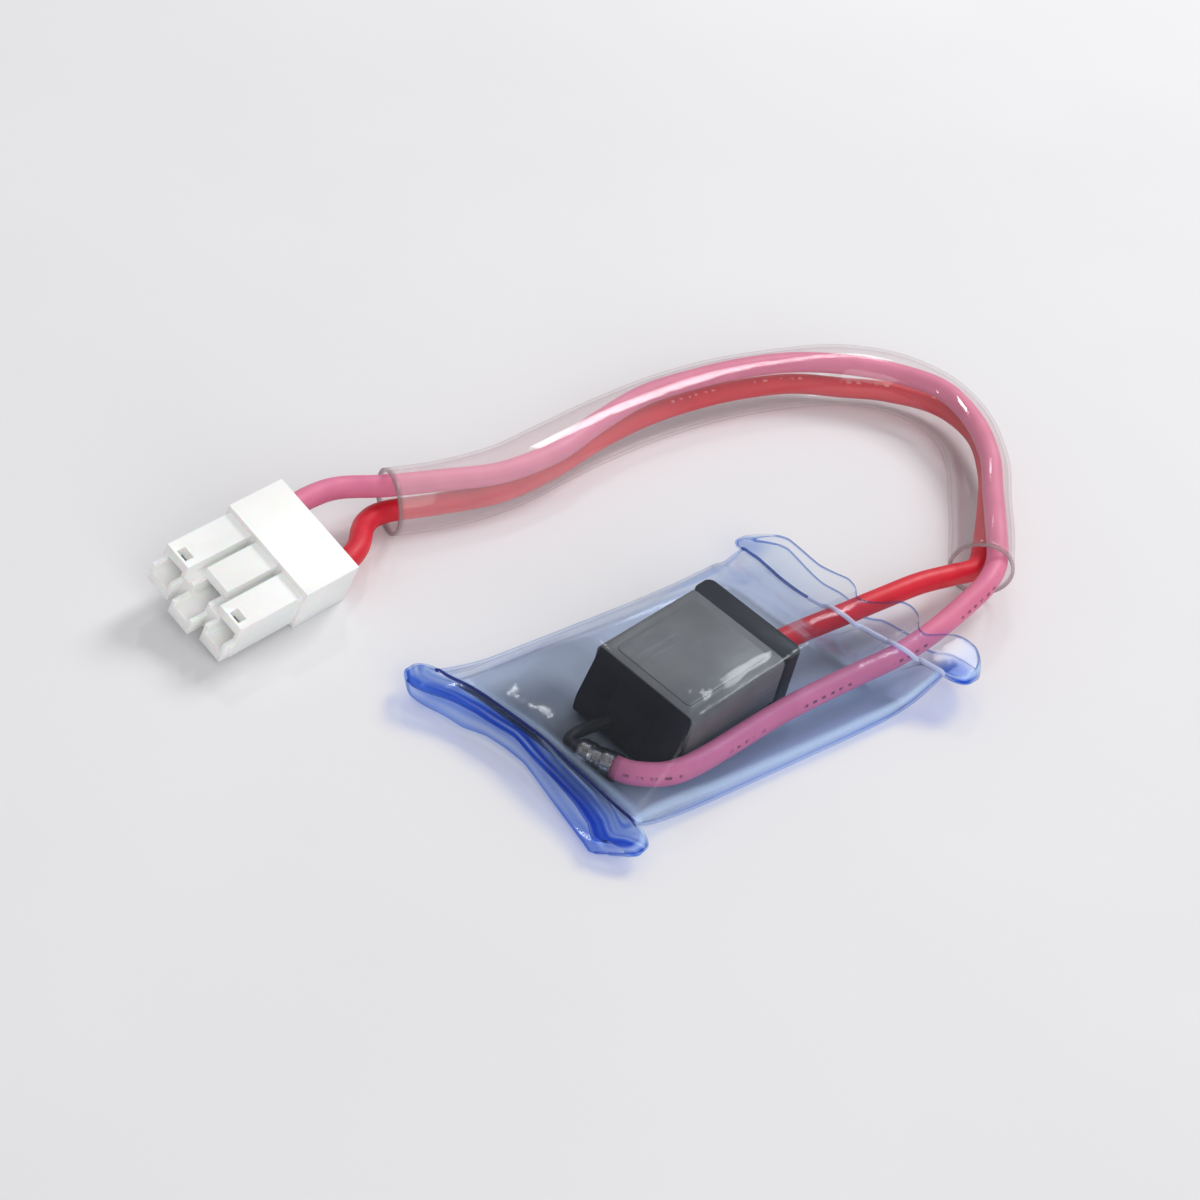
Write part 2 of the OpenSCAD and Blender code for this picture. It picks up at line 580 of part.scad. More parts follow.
// Heights of the middle of the lower and the upper film at a station, at x, y and share u
function films(s, x, y, u) =
    let (
        flat = film_t / 2, c = fullness(u), half = film_t / 2,
        weld_z = x < pouch_x ? splice_weld_z : lead_weld_z,
        low_rim = rim(s[2] < 0 ? splice_rim_low : lead_rim_low, u, 2),
        top_rim = rim(s[2] < 0 ? splice_rim_top : lead_rim_top, u, 2),
        near = x < pouch_x ? x - weld_a : weld_b - x,
        part = slope_share(s[0]) < 1 ? pow(clamp(1 - near / 3.6, 0, 1), 2) : 1,
        edge = mix(fold_z, weld_z, pow(clamp(1 - near / 9, 0, 1), 2)),
        low = mix(edge, mix(flat, weld_z, part), c),
        roof = body_top + film_gap + half,
        high = edge + fold_r * c * (1 - part) + (roof - edge) * pow(1 - fall(x, y), 0.92),
        t = pow(s[1], 0.8),
        lo = s[1] > 0 ? mix(weld_z, low_rim, t) : low,
        hi = s[1] > 0 ? mix(weld_z, top_rim, t) : high,
        r = lift(y - lookup(x, red_y)), p = lift(y - lookup(x, pink_y)),
        led = x > switch_x + x_lead_end + 1,
        lo2 = led ? min(lo, lookup(x, red_z) - r - half, lookup(x, pink_z) - p - half) : lo,
        hi2 = led ? max(hi, lookup(x, red_z) + r + half, lookup(x, pink_z) + p + half) : hi
    )
    [max(flat, lo2), max(hi2, max(flat, lo2) + film_t + film_gap)];

// Closed loop of film points at a station: the upper film from back to front, then the lower one.
// It lies outside the middle of the film by grow, or inside it where grow is negative.
function film_loop(s, grow) =
    let (cols = columns(s), n = len(cols) - 1, m = pouch_mid(s[0]), w = half_width(s[1]))
    [for (k = [0:2 * n - 1])
        let (
            upper = k < n, j = upper ? k : 2 * n - k, fold = j == 0 || j == n,
            u = (cols[j] - m) / w, x = station_x(s, cols[j], u, upper || fold),
            f = films(s, x, cols[j], u),
            z = fold ? (f[0] + f[1]) / 2 : upper ? f[1] + grow : f[0] - grow,
            y = cols[j] + (j == 0 ? grow : j == n ? -grow : 0)
        )
        [x, y, z]];

// Faces of the film in triangles, split alike on all four of its surfaces so that none of them
// cross where they lie close together: n points on the outside and n on the inside of each of m loops
function film_faces(m, n) = concat(
    [for (i = [0:m - 2], k = [0:n - 1], inner = [0, 1])
        let (
            j = (k + 1) % n, a = 2 * n * i + inner * n, b = a + 2 * n,
            q = k < n / 2 ? [[a + k, a + j, b + j], [a + k, b + j, b + k]]
                : [[a + k, a + j, b + k], [a + j, b + j, b + k]]
        )
        each [for (t = q) inner == 0 ? t : [t[0], t[2], t[1]]]],
    [for (k = [0:n - 1]) let (j = (k + 1) % n) [k, n + k, n + j, j]],
    [for (k = [0:n - 1])
        let (j = (k + 1) % n, a = 2 * n * (m - 1))
        [a + j, a + n + j, a + n + k, a + k]]
);

// Pouch of clear film: a flattened tube with a weld near each end and open lips past them
module pouch() {
    stations = concat(
        [for (t = [1, 0.75, 0.5, 0.25]) [weld_a, t, -1]],
        [for (k = [0:8]) [mix(weld_a, slope_a, pow(k / 8, 1.5)), 0, -1]],
        [for (k = [1:5]) [mix(slope_a, slope_b, k / 5), 0, 1]],
        [for (k = [9:-1:0]) [mix(weld_b, slope_b, pow(k / 10, 1.4)), 0, 1]],
        [for (t = [0.12, 0.27, 0.42, 0.57, 0.72, 0.86, 1]) [weld_b, t, 1]]
    );
    n = 2 * (len(columns(stations[0])) - 1);
    points = [for (s = stations) each concat(film_loop(s, film_t / 2), film_loop(s, -film_t / 2))];
    color("#9fc0ec") polyhedron(points, film_faces(len(stations), n), convexity = 20);
}

// Lead from the lead end of the switch to the plug
module red_lead() {
    color("#dc2c3c") cord(red_route, lead_d);
}

// Lead from the splice to the plug
module pink_lead() {
    color("#da7094") cord(pink_route, lead_d);
}

// Clear tube round both leads
module clear_tube() {
    sides = 12;
    points = [for (i = [0:len(tube_route) - 1]) each concat(
        ring(tube_route, i, tube_d / 2, sides), ring(tube_route, i, tube_d / 2 - tube_t, sides)
    )];
    color("#d8d2d8") polyhedron(points, bored_faces(len(tube_route), sides), convexity = 10);
}

// Moves a piece of the plug to its place: rear face at 0, ways pointing along -X
module in_plug() {
    translate([plug_pos[0], plug_pos[1], plug_z]) rotate([0, 0, plug_turn])
        rotate([plug_roll, 0, 0]) children();
}

// White plug with a rear block, three towers and a latch on the middle one
module plug_housing() {
    way_z = block_h / 2 - 0.05;
    front = -block_l - tower_l;
    color("#f6f7f4") in_plug() difference() {
        union() {
            bar(-block_l, 0, block_w, 0, block_h);
            bar(-0.5, 0.5, block_w - 2.6, 1.1, block_h - 1.1);
            // Web under the grooves, and the towers
            bar(front, -block_l + eps, 3 * way_pitch - groove_w, tower_z, tower_z + tower_h - 1.9);
            for (k = [-1:1])
                bar(front, -block_l + eps, tower_w, tower_z, tower_z + tower_h, k * way_pitch);
            // Low lips in front of the outer towers, and the longer one in the middle
            for (k = [-1:1])
                bar(front - plug_lip_l - (k == 0 ? 0.8 : 0), front + eps, tower_w - 0.2,
                    tower_z, tower_z + tower_h / 2 + (k == 0 ? -0.4 : 0.3), k * way_pitch);
        }
        // The middle tower steps down to the end of its latch
        bar(front - 1, front + latch_l, tower_w + groove_w, tower_z + tower_h - 1.5, block_h);
        for (k = [-1:1]) {
            // Hollow of each way, with a round hole for its lead at the back
            bar(front - 4, -2.4, way_side - 0.6, way_z - way_side / 2 + 0.4,
                way_z + way_side / 2 - 0.4, k * way_pitch);
            translate([-2.5, k * way_pitch, way_z]) rotate([0, 90, 0])
                cylinder(d = lead_d + 0.7, h = 5);
            // Window in the top of each outer tower
            if (k != 0)
                bar(front + 0.3, front + 1.5, 1.6, way_z, block_h, k * way_pitch - 0.2);
        }
    }
}

// Crimped contact in one way of the plug: a wire barrel and a box with an open front
module crimp_contact(k) {
    way_z = block_h / 2 - 0.05;
    side = way_side - 1;
    color("#d2ccb8") in_plug() translate([0, k * way_pitch, way_z]) {
        translate([-5.6, 0, 0]) rotate([0, 90, 0]) cylinder(d = 1.9, h = 3.2);
        difference() {
            bar(-13.5, -5.5, side, -side / 2, side / 2);
            bar(-14, -7, side - 0.6, -side / 2 + 0.3, side / 2 - 0.3);
        }
    }
}

module red_crimp_contact() {
    crimp_contact(-1);
}

module pink_crimp_contact() {
    crimp_contact(1);
}

switch_housing();
metal_cover();
base_plate();
bimetal_disc();
disc_guide();
push_pin();
contact_arm();
moving_contact();
arm_rivet();
moving_terminal();
fixed_contact();
fixed_terminal();
tail_end_seal();
lead_end_seal();
tail_lead();
splice_barrel();
splice_sleeve();
pouch();
red_lead();
pink_lead();
clear_tube();
plug_housing();
red_crimp_contact();
pink_crimp_contact();
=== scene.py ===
import functools
import itertools
import math
from typing import NamedTuple

import bmesh
import bpy
import numpy as np
from mathutils import Matrix, Vector, noise


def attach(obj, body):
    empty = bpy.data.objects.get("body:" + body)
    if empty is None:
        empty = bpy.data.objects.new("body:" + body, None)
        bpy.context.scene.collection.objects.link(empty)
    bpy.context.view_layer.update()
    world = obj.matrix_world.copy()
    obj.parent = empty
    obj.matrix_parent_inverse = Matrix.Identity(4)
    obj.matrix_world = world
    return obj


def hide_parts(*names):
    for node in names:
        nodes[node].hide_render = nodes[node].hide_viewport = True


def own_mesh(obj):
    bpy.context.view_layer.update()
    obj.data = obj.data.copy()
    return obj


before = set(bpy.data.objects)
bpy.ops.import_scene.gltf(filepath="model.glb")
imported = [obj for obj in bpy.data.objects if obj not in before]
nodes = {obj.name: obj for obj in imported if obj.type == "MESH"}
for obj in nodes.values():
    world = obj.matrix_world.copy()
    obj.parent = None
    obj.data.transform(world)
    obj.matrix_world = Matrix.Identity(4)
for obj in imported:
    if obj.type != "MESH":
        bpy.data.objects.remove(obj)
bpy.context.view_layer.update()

MM = 0.001


def metres(points):
    """Points given in millimetres, as vectors in metres."""
    return [Vector(p) * MM for p in points]


def added(name, data):
    """New object in the scene, with this data."""
    made = bpy.data.objects.new(name, data)
    bpy.context.scene.collection.objects.link(made)
    return made


# Camera


def look_from(place, target, roll, lens):
    """Camera at a place, turned to a target and then rolled."""
    data = bpy.data.cameras.new("camera")
    data.sensor_width = 36
    data.lens = lens
    data.clip_start, data.clip_end = 0.01, 10
    ahead = (target - place).normalized()
    right = ahead.cross(Vector((0, 0, 1))).normalized()
    up = right.cross(ahead)
    c, s = math.cos(roll), math.sin(roll)
    x, y = c * right + s * up, -s * right + c * up
    turn = Matrix((x, y, -ahead)).transposed().to_4x4()
    camera = added("camera", data)
    camera.matrix_world = Matrix.Translation(place) @ turn
    bpy.context.scene.camera = camera


# Fitted to the photo
look_from(
    place=Vector((-162.88, -95.26, 179.52)) * MM,
    target=Vector((1.43, 17.67, 0)) * MM,
    roll=math.radians(14),
    lens=66,
)


# Node trees


class Tree:
    """Node tree with short calls for new nodes and their inputs."""

    def __init__(self, tree):
        self.tree = tree

    def add(self, kind, inputs=None, **settings):
        """New node; each of its inputs given here is a value or the output of another node."""
        node = self.tree.nodes.new(kind)
        for key, value in settings.items():
            setattr(node, key, value)
        for key, value in (inputs or {}).items():
            self.put(node.inputs[key], value)
        return node

    def put(self, socket, value):
        if isinstance(value, bpy.types.NodeSocket):
            self.tree.links.new(value, socket)
        elif socket.type == "RGBA":
            socket.default_value = (*value, 1)
        else:
            socket.default_value = value


class Shader(Tree):
    """Node tree of a new material."""

    def __init__(self, name):
        self.mat = bpy.data.materials.new(name)
        self.mat.use_nodes = True
        super().__init__(self.mat.node_tree)
        self.tree.nodes.clear()
        self.out = self.add("ShaderNodeOutputMaterial")

    def place(self):
        return self.add("ShaderNodeTexCoord").outputs["Object"]

    def uv(self):
        return self.add("ShaderNodeTexCoord").outputs["UV"]

    def stretch(self, vector, scale, turn=(0, 0, 0)):
        inputs = {"Vector": vector, "Scale": scale, "Rotation": turn}
        return self.add("ShaderNodeMapping", inputs).outputs["Vector"]

    def noise(self, vector, scale, detail=3, rough=0.5):
        inputs = {"Vector": vector, "Scale": scale, "Detail": detail, "Roughness": rough}
        return self.add("ShaderNodeTexNoise", inputs).outputs["Fac"]

    def span(self, value, low, high, to_low=0.0, to_high=1.0):
        inputs = {
            "Value": value, "From Min": low, "From Max": high, "To Min": to_low, "To Max": to_high
        }
        return self.add("ShaderNodeMapRange", inputs).outputs["Result"]

    def math(self, kind, a, b=0.0):
        return self.add("ShaderNodeMath", {0: a, 1: b}, operation=kind).outputs[0]

    def wave(self, value, length):
        return self.math("SINE", self.math("MULTIPLY", value, 2 * math.pi / length))

    def blend(self, fac, a, b):
        node = self.add("ShaderNodeMix", {"Factor": fac}, data_type="RGBA")
        sockets = [s for s in node.inputs if s.type == "RGBA"]
        for socket, colour in zip(sockets, (a, b)):
            self.put(socket, colour)
        return next(s for s in node.outputs if s.type == "RGBA")

    def mix(self, fac, a, b):
        return self.add("ShaderNodeMixShader", {"Fac": fac, 1: a, 2: b}).outputs[0]

    def attribute(self, name):
        return self.add("ShaderNodeAttribute", attribute_name=name).outputs["Fac"]

    def bump(self, height, strength, distance):
        inputs = {"Height": height, "Strength": strength, "Distance": distance}
        return self.add("ShaderNodeBump", inputs).outputs["Normal"]

    def finish(self, shader):
        self.put(self.out.inputs["Surface"], shader)
        return self.mat

    def surface(self, **values):
        """The finished material, of a Principled node with these inputs."""
        inputs = {key.replace("_", " "): value for key, value in values.items()}
        return self.finish(self.add("ShaderNodeBsdfPrincipled", inputs).outputs[0])


# Materials

MOST = (0.3, 0.7)  # Most values of a noise lie between these


class Grain(NamedTuple):
    """Noise on a surface: its scale, its detail and its stretch along x, y and z."""

    scale: float
    detail: float = 3
    stretch: tuple = None


def worked(name, tone, rough, relief, **values):
    """Material with noise in its colour, roughness and relief.

    tone: grain, the two levels between which it blends, and its colours at them
    rough: grain and the two roughnesses, or one roughness
    relief: grain, strength and depth
    """
    s = Shader(name)

    @functools.cache
    def field(grain):
        place = s.stretch(s.place(), grain.stretch) if grain.stretch else s.place()
        return s.noise(place, grain.scale, grain.detail)

    if isinstance(rough, tuple):
        rough = s.span(field(rough[0]), *MOST, *rough[1:])
    grain, low, high, below, above = tone
    return s.surface(
        Base_Color=s.blend(s.span(field(grain), low, high), below, above),
        Roughness=rough,
        Normal=s.bump(field(relief[0]), *relief[1:]),
        **values,
    )


BLACK = worked(
    "black_moulding",
    tone=(Grain(420), *MOST, (0.009, 0.008, 0.01), (0.017, 0.016, 0.02)),
    rough=(Grain(420), 0.38, 0.52),
    relief=(Grain(5200, 2), 0.25, 0.04 * MM),
    Specular_IOR_Level=0.16,
)
RESIN = worked(
    "black_resin",
    tone=(Grain(900, 4), *MOST, (0.009, 0.009, 0.011), (0.018, 0.017, 0.021)),
    rough=(Grain(900, 4), 0.36, 0.52),
    relief=(Grain(900, 4), 0.3, 0.06 * MM),
    Specular_IOR_Level=0.2,
)
BROWN = worked(
    "brown_moulding",
    tone=(Grain(900, 4, (1, 0.4, 1)), *MOST, (0.2, 0.15, 0.09), (0.3, 0.235, 0.145)),
    rough=(Grain(900, 4, (1, 0.4, 1)), 0.45, 0.6),
    relief=(Grain(5200, 2), 0.2, 0.04 * MM),
)
NYLON = worked(
    "white_nylon",
    tone=(Grain(330, 3, (0.5, 1, 1)), *MOST, (0.9, 0.915, 0.89), (0.94, 0.95, 0.93)),
    rough=(Grain(330, 3, (0.5, 1, 1)), 0.36, 0.46),
    relief=(Grain(5000, 2), 0.12, 0.03 * MM),
    Subsurface_Weight=0.4,
    Subsurface_Scale=1.2 * MM,
)
CERAMIC = worked(
    "pin_ceramic",
    tone=(Grain(4200), 0.62, 0.7, (0.84, 0.81, 0.74), (0.6, 0.55, 0.46)),
    rough=0.5,
    relief=(Grain(4200), 0.2, 0.03 * MM),
)
BIMETAL = worked(
    "bimetal",
    tone=(Grain(4200, 3, (1, 0.05, 1)), *MOST, (0.42, 0.39, 0.34), (0.55, 0.51, 0.45)),
    rough=(Grain(4200, 3, (1, 0.05, 1)), 0.28, 0.42),
    relief=(Grain(4200, 3, (1, 0.05, 1)), 0.1, 0.03 * MM),
    Metallic=1.0,
)
COPPER = worked(
    "copper_spring",
    tone=(Grain(500), 0.35, 0.7, (0.64, 0.33, 0.14), (0.48, 0.24, 0.11)),
    rough=(Grain(5200, 3, (0.05, 1, 1)), 0.24, 0.4),
    relief=(Grain(5200, 3, (0.05, 1, 1)), 0.12, 0.02 * MM),
    Metallic=1.0,
)
BRASS = worked(
    "brass_terminal",
    tone=(Grain(480), 0.35, 0.7, (0.62, 0.44, 0.17), (0.46, 0.32, 0.13)),
    rough=(Grain(4600, 3, (0.08, 1, 1)), 0.26, 0.42),
    relief=(Grain(4600, 3, (0.08, 1, 1)), 0.12, 0.02 * MM),
    Metallic=1.0,
)
SILVER = worked(
    "silver_contact",
    tone=(Grain(2600, 4), 0.55, 0.75, (0.78, 0.78, 0.79), (0.5, 0.48, 0.45)),
    rough=(Grain(2600, 4), 0.16, 0.34),
    relief=(Grain(2600, 4), 0.1, 0.02 * MM),
    Metallic=1.0,
)
TINNED = worked(
    "tinned_metal",
    tone=(Grain(1900, 4), 0.35, 0.7, (0.9, 0.88, 0.84), (0.28, 0.24, 0.2)),
    rough=(Grain(1900, 4), 0.16, 0.34),
    relief=(Grain(6500, 2), 0.3, 0.04 * MM),
    Metallic=0.95,
)


def grey_metal():
    """Smooth grey sheet, faintly brushed along the switch, with a few pale scuffs."""
    s = Shader("grey_metal")
    p = s.place()
    brushed = s.noise(s.stretch(p, (0.06, 1, 1)), 3800)
    cloud = s.noise(p, 260)
    scuffs = s.noise(s.stretch(p, (1, 0.25, 1), (0, 0, 0.7)), 1500, 4, 0.7)
    tone = s.blend(s.span(cloud, *MOST), (0.142, 0.136, 0.125), (0.172, 0.165, 0.152))
    tone = s.blend(s.span(scuffs, 0.66, 0.74, 0, 0.5), tone, (0.28, 0.275, 0.27))
    return s.surface(
        Base_Color=tone,
        Metallic=0.15,
        Specular_IOR_Level=0.3,
        Roughness=s.span(brushed, *MOST, 0.34, 0.46),
        Normal=s.bump(brushed, 0.12, 0.03 * MM),
    )


class Ink(NamedTuple):
    """Plain worn ticks on a lead: their colour, where they start and end along it in metres, and
    the share of the way round it at which they lie."""

    colour: tuple
    start: float
    end: float
    level: float


TICK_PITCH, GROUP_PITCH = 0.0014, 0.0135  # Metres along the lead
INK_FADE = 0.001
INK_SHARE = 0.8


def ink_marks(s, uv, place, ink):
    """Where the ticks show: in groups on one line along the lead, broken up as worn ink is."""
    split = s.add("ShaderNodeSeparateXYZ", {0: uv})
    round_it, along = split.outputs[0], split.outputs[1]
    off_line = s.math("ABSOLUTE", s.math("SUBTRACT", round_it, ink.level))
    shows = (
        s.span(s.wave(along, TICK_PITCH), -0.1, 0.2),
        s.span(s.wave(along, GROUP_PITCH), -0.35, -0.15),
        s.span(off_line, 0.024, 0.016),
        s.span(s.noise(place, 900, 2), 0.4, 0.5),
        s.span(along, ink.start, ink.start + INK_FADE),
        s.span(along, ink.end, ink.end - INK_FADE),
    )
    return functools.reduce(functools.partial(s.math, "MULTIPLY"), shows)


def sheath(name, light, dark, ink=None):
    """Soft sheath; its UV map runs round it as u and along it in metres as v."""
    s = Shader(name)
    p, uv = s.place(), s.uv()
    cloud = s.noise(p, 260)
    drawn = s.noise(s.stretch(uv, (60, 900, 1)), 1)
    tone = s.blend(s.span(cloud, *MOST), light, dark)
    if ink:
        marks = s.math("MULTIPLY", ink_marks(s, uv, p, ink), INK_SHARE)
        tone = s.blend(marks, tone, ink.colour)
    return s.surface(
        Base_Color=tone,
        Roughness=s.span(cloud, *MOST, 0.42, 0.54),
        Specular_IOR_Level=0.4,
        Subsurface_Weight=0.1,
        Subsurface_Scale=1 * MM,
        Normal=s.bump(drawn, 0.1, 0.04 * MM),
    )


def clear_skin(
    name, plain, deep, haze, milk, gloss, ripple, reach=0.3, dim=0.0, glint=0.013, marks=None
):
    """Clear sheet that tints what is behind it.

    plain, deep: its tint seen straight on, and where it looks deepest
    haze, milk: share and colour of its haze
    gloss, glint: roughness of its shine, and the share of it that shows straight on
    ripple: scale of its unevenness
    reach, dim: how much deeper the tint is at a slant, and in the shadow
    marks: attributes of the mesh that deepen the tint, add to the haze and paint shade on it
    """
    s = Shader(name)
    p = s.place()
    normal = s.bump(s.noise(p, ripple, 2), 0.3, 0.2 * MM)
    slant = s.add("ShaderNodeLayerWeight", {"Blend": 0.5, "Normal": normal}).outputs["Facing"]
    shadow = s.add("ShaderNodeLightPath").outputs["Is Shadow Ray"]
    seen = s.math("SUBTRACT", 1.0, shadow)
    much = s.math("MULTIPLY", s.math("POWER", slant, 3.0), reach)
    much = s.math("ADD", much, s.math("MULTIPLY", shadow, dim))
    if marks:
        deeper, paler, painted_dark = (s.attribute(mark) for mark in marks)
        much = s.math("ADD", much, deeper)
        haze = s.math("ADD", s.math("MULTIPLY", paler, 0.6), haze)
    tint = s.blend(s.math("MINIMUM", much, 1.0), plain, deep)
    if marks:
        tint = s.blend(painted_dark, tint, (0.0, 0.0, 0.0))
    through = s.add("ShaderNodeBsdfTransparent", {"Color": tint}).outputs[0]
    veil = s.add("ShaderNodeBsdfDiffuse", {"Color": milk}).outputs[0]
    body = s.mix(s.math("MULTIPLY", seen, haze), through, veil)
    rough = s.span(s.noise(p, 300), *MOST, gloss, gloss * 1.8)
    shine = s.add("ShaderNodeBsdfGlossy", {"Roughness": rough, "Normal": normal}).outputs[0]
    edge = s.math("MULTIPLY", s.math("POWER", slant, 5.0), 0.5)
    edge = s.math("MULTIPLY", s.math("ADD", edge, glint), seen)
    return s.finish(s.mix(edge, body, shine))


GREY = grey_metal()
RED = sheath(
    "red_sheath", (0.7, 0.015, 0.035), (0.6, 0.011, 0.028),
    Ink((0.78, 0.32, 0.33), start=0.062, end=0.12, level=0.3),
)
PINK = sheath(
    "pink_sheath", (0.74, 0.2, 0.34), (0.66, 0.165, 0.29),
    Ink((0.1, 0.03, 0.06), start=0.001, end=0.075, level=0.07),
)
TAIL = sheath("black_sheath", (0.005, 0.004, 0.005), (0.01, 0.009, 0.01))

MARKS = ("tone", "pale", "painted_shade")
FILM = clear_skin(
    "blue_film", plain=(0.962, 0.978, 0.998), deep=(0.2, 0.4, 0.86),
    haze=0.006, milk=(0.62, 0.78, 0.98), gloss=0.05, ripple=130,
    reach=0.16, dim=0.08, marks=MARKS,
)
FILM_EDGE = clear_skin(
    "blue_film_edge", plain=(0.5, 0.62, 0.93), deep=(0.14, 0.26, 0.7),
    haze=0.3, milk=(0.12, 0.2, 0.5), gloss=0.12, ripple=400,
)
# One weld film in two looks: with painted shade, and with a painted highlight as a pale haze
WELD_SHADED = clear_skin(
    "film_weld_painted_shade", plain=(0.3, 0.36, 0.7), deep=(0.08, 0.1, 0.36),
    haze=0.3, milk=(0.08, 0.1, 0.32), gloss=0.1, ripple=900,
)
WELD_LIT = clear_skin(
    "film_weld_painted_highlight", plain=(0.8, 0.85, 0.98), deep=(0.3, 0.36, 0.7),
    haze=0.55, milk=(0.78, 0.82, 0.97), gloss=0.1, ripple=900,
)
TUBE = clear_skin(
    "clear_tube", plain=(0.995, 0.988, 0.99), deep=(0.86, 0.75, 0.77),
    haze=0.03, milk=(0.98, 0.88, 0.91), gloss=0.035, ripple=160,
    reach=0.35, glint=0.03, marks=MARKS,
)
SLEEVE = clear_skin(
    "clear_sleeve", plain=(0.93, 0.92, 0.93), deep=(0.35, 0.32, 0.35),
    haze=0.01, milk=(0.8, 0.8, 0.84), gloss=0.04, ripple=500,
)


# Mesh helpers


def piece(name, mesh, body, *stood_for, slot=None, smooth=True):
    """New object from a mesh, riding on a body, in place of some CAD nodes."""
    made = added(name, mesh)
    if smooth:
        mesh.polygons.foreach_set("use_smooth", [True] * len(mesh.polygons))
    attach(made, body)
    if stood_for:
        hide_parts(*stood_for)
    return made


def baked(made):
    """Turns an object's live modifiers into its plain mesh."""
    graph = bpy.context.evaluated_depsgraph_get()
    mesh = bpy.data.meshes.new_from_object(made.evaluated_get(graph))
    made.modifiers.clear()
    made.data = mesh
    return made


def walled(made, thickness, offset, rim_material=0):
    """Gives an open sheet its thickness."""
    wall = made.modifiers.new("wall", "SOLIDIFY")
    wall.thickness = thickness
    wall.offset = offset
    wall.material_offset_rim = rim_material
    return baked(made)


def mark(mesh, marks):
    """Stores how deep and pale a clear skin looks at each point, and its painted shade."""
    for name, values in zip(MARKS, marks):
        mesh.attributes.new(name, "FLOAT", "POINT").data.foreach_set("value", np.ravel(values))


def ways(line):
    """The way along a line to each of its points."""
    return [0.0, *itertools.accumulate((b - a).length for a, b in zip(line, line[1:]))]


def smooth_line(points, step):
    """Points every step or so on a smooth curve through the given ones."""
    p = [points[0] * 2 - points[1], *points, points[-1] * 2 - points[-2]]
    fine = []
    for a, b, c, d in zip(p, p[1:], p[2:], p[3:]):
        n = max(4, int((c - b).length / step * 3))
        for k in range(n):
            t = k / n
            fine.append(
                0.5 * (2 * b + (c - a) * t + (2 * a - 5 * b + 4 * c - d) * t * t
                       + (3 * b - a - 3 * c + d) * t ** 3)
            )
    fine.append(points[-1].copy())
    way = ways(fine)
    count = max(2, round(way[-1] / step))
    wanted = np.linspace(0, way[-1], count + 1)
    xyz = np.array(fine)
    return [Vector(v) for v in zip(*(np.interp(wanted, way, xyz[:, i]) for i in range(3)))]


def frames(line):
    """Level and upright unit vectors across a line at each of its points."""
    made = []
    for i in range(len(line)):
        t = (line[min(i + 1, len(line) - 1)] - line[max(i - 1, 0)]).normalized()
        level = t.cross(Vector((0, 0, 1))).normalized()
        made.append((level, level.cross(t)))
    return made


def tube_mesh(name, line, radius, sides, closed=True):
    """Tube along a line; radius may depend on the point's number and the angle. Its UV map has the
    share round the tube as u and the way along it in metres as v."""
    made = bmesh.new()
    uv = made.loops.layers.uv.new("UVMap")
    rings, way = [], ways(line)
    for i, (level, upright) in enumerate(frames(line)):
        ring = []
        for k in range(sides):
            a = 2 * math.pi * k / sides
            r = radius(i, a) if callable(radius) else radius
            outward = math.cos(a) * level + math.sin(a) * upright
            ring.append(made.verts.new(line[i] + r * outward))
        rings.append(ring)
    for i in range(len(rings) - 1):
        for k in range(sides):
            j = (k + 1) % sides
            face = made.faces.new((rings[i][k], rings[i][j], rings[i + 1][j], rings[i + 1][k]))
            at = ((k, i), (k + 1, i), (k + 1, i + 1), (k, i + 1))
            for loop, (u, v) in zip(face.loops, at):
                loop[uv].uv = (u / sides, way[v])
    if closed:
        made.faces.new(rings[0][::-1])
        made.faces.new(rings[-1])
    bmesh.ops.recalc_face_normals(made, faces=made.faces)
    mesh = bpy.data.meshes.new(name)
    made.to_mesh(mesh)
    made.free()
    return mesh


# Leads, tube and plug

SPLICE_A, SPLICE_B = metres([(-20.6, 0.5, 2.4), (-19.1, -3.7, 2.4)])
SPLICE_RUN = (SPLICE_B - SPLICE_A).normalized()

pink_route = [SPLICE_B, SPLICE_B + 0.6 * MM * SPLICE_RUN] + metres([
    (-18.5, -5.4, 2.6), (-17.3, -7.05, 2.9), (-15.6, -8.5, 3.2), (-13.4, -9.3, 3.4),
    (-9.6, -9.65, 3.3), (-4.2, -9.8, 3.2), (1.8, -10.2, 3.5), (8, -11, 3.8), (14.6, -12, 4),
    (21, -13, 4.2), (27.4, -13.4, 4.8), (33.4, -13.3, 5.6), (39, -12.7, 6), (44.1, -10.7, 5.9),
    (49.3, -6.6, 6.1), (55, -2, 5.9), (60.4, 2.6, 6.1), (64.5, 8.5, 6.3), (66.2, 15.2, 6.3),
    (64, 21.7, 5.8), (59.5, 27, 5.7), (53.6, 31.4, 5.7), (46.3, 34.5, 5.8), (38.3, 36.8, 5.7),
    (29.7, 38.3, 5.6), (20.7, 38.1, 5.1), (12, 37.1, 5), (3.2, 38.1, 5), (-4.6, 40.9, 5.5),
    (-11.2, 43.8, 5.7), (-16.6, 46.4, 6.1), (-20.8, 46.9, 6.3), (-24.6, 46.5, 6.3),
    (-26.8, 46.4, 6.3),
])
